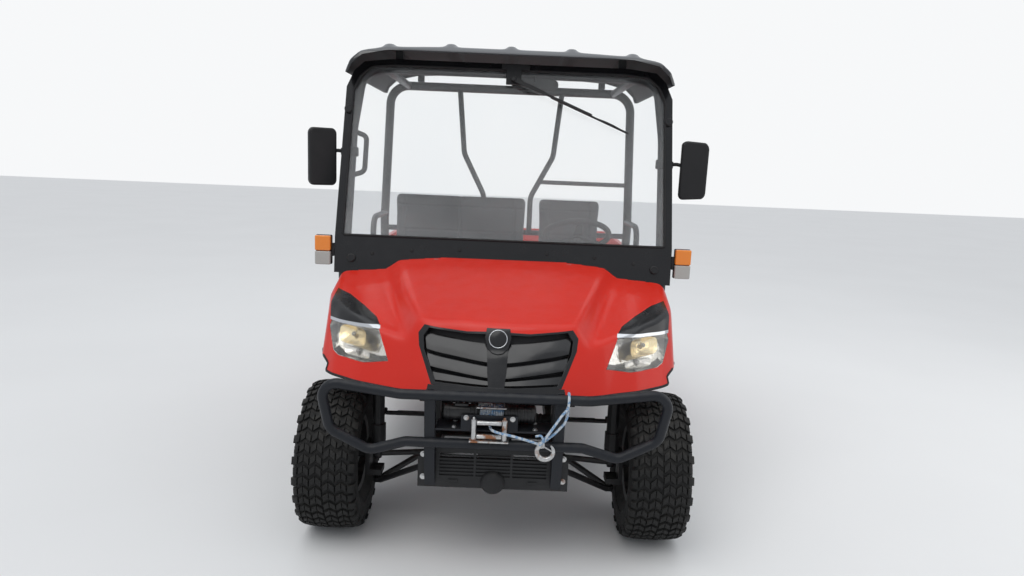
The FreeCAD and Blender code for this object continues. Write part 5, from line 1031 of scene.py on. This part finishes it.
# Wiper: motor box, arm with a sprung link and a rubber blade
dress("wiper_motor", 4, 3)
PIVOT, TIP = on_screen(16, 1946, -20), on_screen(560, 1720, -20)
run_dir = (TIP - PIVOT).normalized()
reach = (TIP - PIVOT).length
across = run_dir.cross(OUTWARD).normalized()


def along(s, out, side=0):
    return PIVOT + run_dir * s + OUTWARD * out + across * side


link = [turned(along(0, 6), along(0, 24), [(0, 13), (0.6, 13), (0.9, 11), (1, 6)], 28)]
for s0, s1, w0, w1 in ((-12, 160, 11, 9), (160, reach - 190, 6, 5)):
    link.append(prism([along(s0, 10, -w0), along(s1, 12, -w1), along(s1, 12, w1), along(s0, 10, w0)], OUTWARD * 6))
build("wiper_link", link, "black_plastic", body="wiper_arm", bevel=1.2, node="wiper_arm")
start = reach - 400
wiper = []
for s0, s1, w, out, depth in ((start, reach, 3.5, -4, 8), (start + 4, reach - 4, 1.1, -12, 8)):
    quad = [along(s0, out, -w), along(s1, out, -w), along(s1, out, w), along(s0, out, w)]
    wiper.append(prism(quad, OUTWARD * depth))
for s in (start + 100, start + 300):
    clip = [along(s + d, out, -4) for d, out in ((-55, 4), (55, 4), (20, 11), (-20, 11))]
    wiper.append(prism(clip, across * 8))
build("wiper_blade", wiper, "rubber", body="wiper_arm", bevel=0.6)

# Inside mirror hung from the upper rail behind the glass
face = [(copysign(abs(c) ** 0.7, c), copysign(abs(s) ** 0.6, s)) for c, s in circle(40)]
case = prism([(118 + 112 * c, -418, 1938 + 30 * s) for c, s in face], (0, 18, 0))
build("cab_mirror_case", [case], "black_plastic", angle=50, bevel=7, segments=4)
glass = prism([(118 + 112 * 0.93 * c, -400.3, 1938 + 30 * 0.84 * s) for c, s in face], (0, 2.2, 0))
build("cab_mirror_glass", [glass], "mirror_glass", bevel=0.6)
stem = bent([(118, -416.5, 1950), (118, -424, 1966), on_screen(118, 1985, 48)], [8], step=15)
build("cab_mirror_stem", [sweep(stem, 6.5, 14)], "black_plastic", angle=60)

# Roof: glossy moulding with five ribs
ROOF_RIGHT = [(-285, 2086), (-570, 2072), (-688, 2045), (-738, 2000), (-760, 1945), (-760, 1890)]
ROOF_SIDE = [(-575, 1890), (-575, 2032), (-545, 2056), (-425, 2110), (395, 2110), (475, 2050), (475, 1890)]
roof_loop = flip_x(ROOF_RIGHT) + ROOF_RIGHT
roof = raw_object("roof_moulding", prism([(x, -575, z) for x, z in roof_loop], (0, 1050, 0)))
for x, z in ((-570, 2072), (-285, 2086), (0, 2086), (285, 2086), (570, 2072)):
    rib = [(x + dx, -575, z + dz) for dx, dz in ((-35, -25), (-23, 22), (23, 22), (35, -25))]
    cut_with(roof, prism(rib, (0, 1050, 0)), "UNION")
cut_with(roof, prism([(-900, y, z) for y, z in ROOF_SIDE], (1800, 0, 0)), "INTERSECT")
voxel(roof, 9)
relax(roof, 12)
co = points_of(roof)
for axis, low, high in ((0, -0.760, 0.760), (1, -0.575, 0.475)):
    least, most = co[:, axis].min(), co[:, axis].max()
    co[:, axis] = np.clip(low + (co[:, axis] - least) * (high - low) / (most - least), low, high)
move_points(roof, co)


def open_below(work):
    gone = [f for f in work.faces if f.calc_center_median().z < 1.905]
    bmesh.ops.delete(work, geom=gone, context="FACES")
    face_out(work)


rework(roof.data, open_below)
thicken(roof, 4.5)
for y0, y1 in ((-640, -545), (440, 520)):
    cut_with(roof, prism([(x * 0.986, y0, max(z - 22, 1881)) for x, z in roof_loop], (0, y1 - y0, 0)))
cut_with(roof, slab(-900, 900, -700, 600, 1880, 1945))
place(coated(roof, "roof_plastic", 35), "chassis", "roof")
spots = [(x, y) for x in (-530, 530) for y in (screen_y(1985) + 50, 400)]
pads = [slab(x - 18, x + 18, y - 18, y + 18, 2010.3, 2066) for x, y in spots]
build("roof_pads", pads, "rubber", bevel=3)
build("roof_bolts", [bolt((x, y, 2078), (0, 0, 1)) for x, y in spots], "bare_steel")


# Roll cage of round tube
def hoop_point(x, z):
    return on_screen(x, z, 50)


def hoop(half, radii):
    # tube over the cab, cut off level with the floor
    path = bent(both_ways(half), radii + radii[::-1])
    kept = [p for p in path if p.z > 436.5]
    ends = []
    for p, q in ((path[0], kept[0]), (path[-1], kept[-1])):
        ends.append(p.lerp(q, (436.5 - p.z) / (q.z - p.z)))
    return sweep([ends[0]] + kept + [ends[1]], 24.8, 28)


def tubes(name, parts, node, look="cage_paint"):
    build(name, parts, look, angle=60, node=node)


front = [(736, -538, 416), hoop_point(736, 1040), hoop_point(736, 1700), hoop_point(704, 1985)]
tubes("front_hoop_tube", [hoop(front, [200, 500, 110])], "rops_front_hoop")
rear = [hoop([(720, 400, 416), (736, 400, 1196), (704, 400, 1985)], [400, 110])]
rear.append(rod((-736, 400, 1150), (736, 400, 1150), 15.8))
BRACE = [(300, 1985), (265, 1608), (140, 1365), (140, 1150)]
rear += [sweep(bent([(s * x, 400, z) for x, z in BRACE], [120, 120]), 15.8, 24) for s in (1, -1)]
rear.append(rod((187, 400, 1457), (725, 400, 1457), 12.8, 20))
tubes("rear_hoop_tube", rear, "rops_rear_hoop")
tubes("roof_rail_tubes", [rod(hoop_point(x, 1985), (x, 400, 1985), 19.8) for x in (600, -600)], "rops_roof_rails")
hips = [bent([(s * 728, 400, 1240), (s * 724, -40, 1240), (s * 702, -60, 781)], [110]) for s in (1, -1)]
tubes("hip_guard_tubes", [sweep(path, 15.8, 24) for path in hips], "hip_guards")
grip = bent([hoop_point(x, z) for x, z in ((-736, 1683), (-668, 1660), (-668, 1495), (-736, 1473))], [30, 30])
tubes("handle_grip", [sweep(grip, 11.8)], "grab_handle", "rubber")
feet = [slab(s * 690, s * 750, 387, 413, 437, 445) for s in (1, -1)]
feet += [slab(s * 700, s * 768, -575, -500, 436.4, 444.4) for s in (1, -1)]
build("cage_feet", feet, "cage_paint", bevel=1.5)

# Mirrors: rounded heads on bent stalks, with mirror glass facing back
MZ = 1585
MY = screen_y(MZ) + 50
LEFT_HEAD = [(812, 1440), (826, 1425), (925, 1432), (938, 1450), (940, 1670), (925, 1692), (830, 1698), (812, 1684)]
RIGHT_HEAD = [(800, 1440), (815, 1425), (915, 1425), (930, 1440), (930, 1675), (915, 1690), (815, 1690), (800, 1675)]
HEADS = [
    # outline, front and back, turn, pivot, end of the stalk
    (LEFT_HEAD, -50, -16, 0, 876, 868),
    ([(-x, z) for x, z in RIGHT_HEAD], -56, -14, 32, -865, 850),
]
for (s, label), (loop, y0, y1, angle, pivot, tip) in zip(SIDES, HEADS):
    axis = Vector((pivot, MY - 35, 0))
    turn = Matrix.Translation(axis) @ Matrix.Rotation(radians(angle), 4, "Z") @ Matrix.Translation(-axis)
    mx, mz = (sum(p[i] for p in loop) / len(loop) for i in (0, 1))
    head = prism([turn @ Vector((x, MY + y0, z)) for x, z in loop], turn.to_3x3() @ Vector((0, y1 - y0 - 3, 0)))
    node = "mirrors" if s > 0 else None
    build("mirror_head_" + label, [head], "black_plastic", angle=50, bevel=15, segments=6, node=node)
    glass = [turn @ Vector((mx + (x - mx) * 0.88, MY + y1 - 3.5, mz + (z - mz) * 0.92)) for x, z in loop]
    build("mirror_glass_" + label, [prism(glass, turn.to_3x3() @ Vector((0, 3, 0)))], "mirror_glass", bevel=0.8)
    stalk = [
        sweep(bent([(s * 762, MY, MZ), (s * 800, MY - 6, MZ + 4), (s * tip, MY - 30, MZ - 10)], [30], step=10), 8.5, 18),
        rod((s * 736, MY, MZ - 22), (s * 736, MY, MZ + 22), 34, 36, 4),
        slab(s * 758, s * 782, MY - 18, MY + 18, MZ - 16, MZ + 16),
    ]
    build("mirror_stalk_" + label, stalk, "black_plastic", angle=50, bevel=1.5)

# Side lamps: housing with amber and clear lenses; tail lamps
LY = screen_y(1140)
LAMPS = [
    # name, look, slot, box, bevel and its segments, node
    ("side_lamp_case_", "black_plastic", "lamp_housing", (786, 859, LY - 2, LY + 20, 1071, 1206), 5, 4, "side_lamps"),
    ("side_lamp_amber_", "amber", "lamp_housing", (787, 858, LY - 26, LY - 1.5, 1136, 1205), 6, 4, None),
    ("side_lamp_clear_", "white_lens", "lamp_housing", (787, 858, LY - 26, LY - 1.5, 1072, 1134), 6, 4, None),
    ("side_lamp_bracket_", "cage_paint", "cage_paint", (775.1, 786.2, LY - 4, LY + 12, 1110, 1170), 1.5, 2, None),
    ("tail_lamp_case_", "black_plastic", "lamp_housing", (160, 240, 1430, 1442, 365, 425), 2, 2, "tail_lamps"),
    ("tail_lamp_lens_", "tail_lens", "tail_lens", (163, 237, 1441.5, 1456, 368, 422), 5, 4, None),
]
for s, label in SIDES:
    for name, look, slot, (x0, x1, *rest), bevel, segments, node in LAMPS:
        part = slab(s * x0, s * x1, *rest)
        build(name + label, [part], look, bevel=bevel, segments=segments, node=node if s > 0 else None)

# Steering wheel and column
TILT = radians(31)
AXIS = Vector((0, sin(TILT), cos(TILT)))
wheel_turn = Vector((0, 0, 1)).rotation_difference(AXIS).to_matrix()
wheel_centre = Vector((359, -420, 1218)) + AXIS * 8


def on_wheel(x, y, z=0):
    return wheel_centre + wheel_turn @ Vector((x, y, z))


grip = sweep([on_wheel(156 * c, 156 * s) for c, s in circle(72)], 13.8, 18, True)
build("wheel_grip", [grip], "rubber", body="steering_wheel", angle=80, node="steering_wheel")
spokes = []
for c, s in circle(3, -pi / 2):
    outline = [(r * c - w * s, r * s + w * c) for r, w in ((22, 22), (22, -22), (150, -13), (150, 13))]
    spokes.append(prism([on_wheel(x, y, -16) for x, y in outline], AXIS * 10))
spokes.append(turned(on_wheel(0, 0, -26), on_wheel(0, 0), [(0, 36), (0.2, 38), (0.8, 36), (1, 26)], 36))
spokes.append(rod(on_wheel(0, 0, -76), on_wheel(0, 0, -10), 8.9, 18))
build("wheel_spokes", spokes, "black_plastic", body="steering_wheel", bevel=2)
dress("steering_column", 3, 3, angle=50)

# Seats: padded cushions and backs with sewn channels, then piping
SEATS = [("bench", -663, 127, [-268]), ("driver", 176, 560, [])]
CUSHION = [(-145, 780), (-155, 840), (-135, 872), (-100, 880), (195, 858), (205, 780)]
BACK = [(209, 780), (206, 880), (262, 1355), (280, 1385), (325, 1385), (345, 1345), (322, 780)]
BASE_Z = 780.5
FRAMES = 20


def simulate(obj, pressure, cap):
    # short pressure run with the foot held; points may move only as far as the cap
    rest = points_of(obj)
    group = obj.vertex_groups.new(name="held")
    held = [v.index for v in obj.data.vertices if v.co.z < 0.7865]
    if held:
        group.add(held, 1.0, "REPLACE")
    cloth = obj.modifiers.new("cloth", "CLOTH")
    cloth.settings.use_pressure = True
    cloth.settings.uniform_pressure_force = pressure
    cloth.settings.effector_weights.gravity = 0.0
    cloth.settings.vertex_group_mass = "held"
    cloth.settings.quality = 4
    cloth.point_cache.frame_start = 1
    cloth.point_cache.frame_end = FRAMES
    for number in range(1, FRAMES + 1):
        bpy.context.scene.frame_set(number)
    seen = obj.evaluated_get(bpy.context.evaluated_depsgraph_get())
    delta = np.array([v.co for v in seen.to_mesh().vertices]) - rest
    seen.to_mesh_clear()
    obj.modifiers.clear()
    bpy.context.scene.frame_set(1)
    length = np.linalg.norm(delta, axis=1, keepdims=True)
    move_points(obj, rest + delta * np.minimum(1.0, cap / MM / np.maximum(length, 1e-9)))
    obj.vertex_groups.clear()


def pad(name, profile, x0, x1, node, seams):
    middle = [sum(p[i] for p in profile) / len(profile) for i in (0, 1)]
    pts = []
    for y, z in profile:
        dy, dz = y - middle[0], z - middle[1]
        k = 1 - 12 / hypot(dy, dz)
        pts.append((x0 + 10, middle[0] + dy * k, max(BASE_Z, middle[1] + dz * k) if z > 781 else BASE_Z))
    obj = raw_object(name, prism(pts, (x1 - x0 - 20, 0, 0)))
    add_bevel(obj, 22, 3, 25)
    applied(obj)
    voxel(obj, 9)
    relax(obj, 6)
    simulate(obj, 4.0, 12)
    subdivide = obj.modifiers.new("sub", "SUBSURF")
    subdivide.levels = 1
    subdivide.render_levels = 1
    applied(obj)
    co, normals = points_of(obj) * MM, points_of(obj, "normal")

    # channels along the seams between places, and across the face
    def channel(axis, line, width):
        return np.exp(-((co[:, axis] - line) / width) ** 2)

    if node == "seat_cushions":
        shown, lines = normals[:, 2] > 0.3, [(1, -20), (1, 90)]
    else:
        shown, lines = normals[:, 1] < -0.3, [(2, 1020), (2, 1160), (2, 1300)]
    depth = sum([7 * channel(0, seam, 6) for seam in seams], np.zeros(len(co)))
    for axis, line in lines + [(0, x0 + 75), (0, x1 - 75)]:
        depth += 4 * channel(axis, line, 5) * shown
    co -= normals * depth[:, None]
    co[:, 2] = np.maximum(co[:, 2], BASE_Z)
    move_points(obj, co / MM)
    place(coated(obj, "seat_vinyl", 70), "chassis", node)
    return obj


for label, x0, x1, seams in SEATS:
    cushion = pad("seat_cushion_" + label, CUSHION, x0, x1, "seat_cushions", seams)
    back = pad("seat_back_" + label, BACK, x0, x1, "seat_backs", seams)
    piping = []
    for obj, y, z in ((cushion, -150, 868), (back, 262, 1385)):
        tree = bvh_of(obj)
        line = [Vector((x0 + 20 + (x1 - x0 - 40) * k / 30, y, z)) / MM for k in range(31)]
        piping.append(sweep([tree.find_nearest(p)[0] * MM for p in line], 3.5, 8))
    build("seat_piping_" + label, piping, "rubber", angle=80)

# Cab mouldings
dress("dash", 6, 3)
dress("seat_base", 6, 3)
dress("floor_tub", 1.5, 1)
HOOD = [(270, 1119), (285, 1160), (330, 1178), (390, 1178), (435, 1160), (450, 1119)]
build("instrument_hood", [prism([(x, -540, z) for x, z in HOOD], (0, 62, 0))], "black_plastic", bevel=6, segments=3)
DIAL = [(0, 21), (0.6, 21), (1, 18)]
build("instrument_dials", [turned((x, -478.5, 1148), (x, -474, 1149), DIAL, 36) for x in (325, 395)], "instrument")
build("dash_switches", [slab(x, x + 24, -484, -477, 1052, 1072) for x in range(-10, 180, 38)], "rubber", bevel=3)
lever = [rod((205, -500, 1000), (205, -400, 1065), 6, 16)]
lever.append(turned((205, -412, 1057), (205, -388, 1073), [(0, 8), (0.3, 18), (0.7, 19), (1, 10)], 28))
build("gear_lever", lever, "rubber", angle=50)
bar = bent([(-500, -480, 1060), (-500, -440, 1060), (-260, -440, 1060), (-260, -480, 1060)], [20, 20])
build("passenger_bar", [sweep(bar, 9.5, 16)], "rubber", angle=60)
pedals = []
for x in (270, 340, 420):
    pedals.append(slab(x - 22, x + 22, -562, -552, 500, 580))
    pedals.append(rod((x, -556, 570), (x, -575, 700), 6, 12))
    pedals.append(rod((x, -575, 700), (x, -592, 702), 6, 12))
build("pedals", pedals, "rubber", bevel=2)

# Ribbed floor mat, access panels with turn knobs in the front of the seat base
low, high = (Vector(v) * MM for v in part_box("seat_base"))
rows = [low.y - 30 - k * 24 for k in range(14)]
build("floor_mat_ribs", [slab(-655, 655, y, y + 11, 436.2, 439.2) for y in rows], "rubber", bevel=1.2)
covers, knobs = [], []
for x0, x1 in ((-620, -240), (-190, 190), (240, 620)):
    covers.append(slab(x0, x1, low.y - 4, low.y + 1, low.z + 70, high.z - 70))
    foot, head = ((0.5 * (x0 + x1), low.y - d, high.z - 110) for d in (4, 16))
    knobs.append(turned(foot, head, [(0, 18), (0.2, 19), (0.8, 16), (1, 12)], 28))
build("seat_base_panels", covers, "black_plastic", bevel=1.8)
build("seat_base_knobs", knobs, "rubber", angle=50)

# Cargo bed: pressed ribs, floor ribs, tailgate panels and latches
dress("bed", 2.5)
ribs = [slab(s * 739.8, s * 750, y, y + 45, 815, 1045) for s in (1, -1) for y in range(520, 1371, 170)]
ribs += [slab(x, x + 80, 450, 457, 820, 1050) for x in range(-600, 521, 280)]
build("bed_ribs", ribs, "bed_red", body="bed", bevel=6, segments=3)
ribs = [slab(x - 14, x + 14, 465, 1470, 794.5, 799.5) for x in range(-620, 621, 155)]
build("bed_floor_ribs", ribs, "bed_red", body="bed", bevel=3)
dress("tailgate", 2)
panels = [slab(x - 160, x + 160, 1496.8, 1503, 835, 1035) for x in (-460, 0, 460)]
build("tailgate_panels", panels, "bed_red", body="tailgate", bevel=6, segments=3)
latches = [slab(s * 665, s * 735, 1496.8, 1506.5, 1045, 1066) for s in (1, -1)]
build("tailgate_latches", latches, "zinc", "tailgate", bevel=2)


# Running gear: springs, dampers, arms and castings
def spring(a, b, r):
    a, b = Vector(a), Vector(b)
    x = (b - a).normalized().orthogonal().normalized()
    y = (b - a).normalized().cross(x)
    coil = circle(18) * 6 + [(1, 0)]
    return sweep([a.lerp(b, k / 108) + x * (r * c) + y * (r * s) for k, (c, s) in enumerate(coil)], 6, 10)


CUPS = [
    # z of both ends and profile
    (872, 880, [(0, 36), (0.5, 42), (1, 42)], 36),
    (640.5, 644, [(0, 40), (1, 38)], 36),
    (645, 700, [(0, 17), (0.2, 19), (0.4, 16), (0.6, 19), (0.8, 16), (1, 14)], 28),
]
springs, struts = [], []
for x in (500, -500):
    springs.append(spring((x, -1040, 648), (x, -1040, 866), 35.5))
    struts.append(rod((x, -1040, 540), (x, -1040, 906), 9.9, 20))
    struts += [turned((x, -1040, z0), (x, -1040, z1), profile, count) for z0, z1, profile, count in CUPS]
    struts.append(bolt((x, -1040, 890.5), (0, 0, 1), 12, 10))
build("front_strut_springs", springs, "strut_paint", angle=80)
build("front_strut_rods", struts, "bare_steel", node="front_struts")
springs, struts = [], []
for s in (1, -1):
    a, b = Vector((s * 455, 890, 300)), Vector((s * 310, 890, 735))
    struts.append(turned(a, a.lerp(b, 0.55), [(0, 20), (0.04, 24), (0.96, 24), (1, 18)], 28))
    struts.append(rod(a.lerp(b, 0.5), b, 10.8, 18))
    struts.append(turned(a.lerp(b, 0.30), a.lerp(b, 0.325), [(0, 30), (0.5, 40), (1, 40)]))
    struts.append(turned(a.lerp(b, 0.90), a.lerp(b, 0.925), [(0, 40), (0.5, 40), (1, 28)]))
    struts.append(slab(s * 275, s * 330, 870, 910, 715, 755))
    struts.append(slab(s * 430, s * 497, 870, 955, 290, 315))
    springs.append(spring(a.lerp(b, 0.335), a.lerp(b, 0.89), 33.5))
build("rear_strut_springs", springs, "strut_paint", angle=80)
build("rear_strut_rods", struts, "strut_paint", node="rear_struts")
CASTINGS = [
    # node and width of its bevel
    ("chassis_frame", 3), ("front_arms", 1), ("rear_arms", 1), ("knuckle_left", 2.5), ("knuckle_right", 2.5),
    ("rear_hubs", 3), ("engine", 8), ("transaxle", 8), ("front_final_drive", 4), ("steering_rack", 2), ("tie_bar", 1.5),
    ("half_shafts", 1), ("prop_shaft", 1), ("exhaust", 2), ("ram_barrel", 1), ("ram_rod", 1), ("bonnet_hinges", 1),
]
# painted shade: these parts under the front get the near-black frame finish instead of their own look, to darken them
# as if in shade
SHADE_DARKENED = ("half_shafts", "tie_bar", "steering_rack", "front_final_drive")
for node, width in CASTINGS:
    look = "frame_paint" if node in SHADE_DARKENED else None
    dress(node, width, look=look, angle=50 if width < 2.5 else 35)
folds = [(0, 20), (0.1, 24), (0.2, 18), (0.3, 23), (0.4, 17), (0.5, 21), (0.6, 16), (0.7, 19), (0.8, 15), (1, 12.5)]
boots = [turned((s * 170, -910, 448), (s * 260, -910, 448), folds, 28) for s in (1, -1)]
build("rack_boots", boots, "rubber", angle=60)

low, high = CAD_BOX
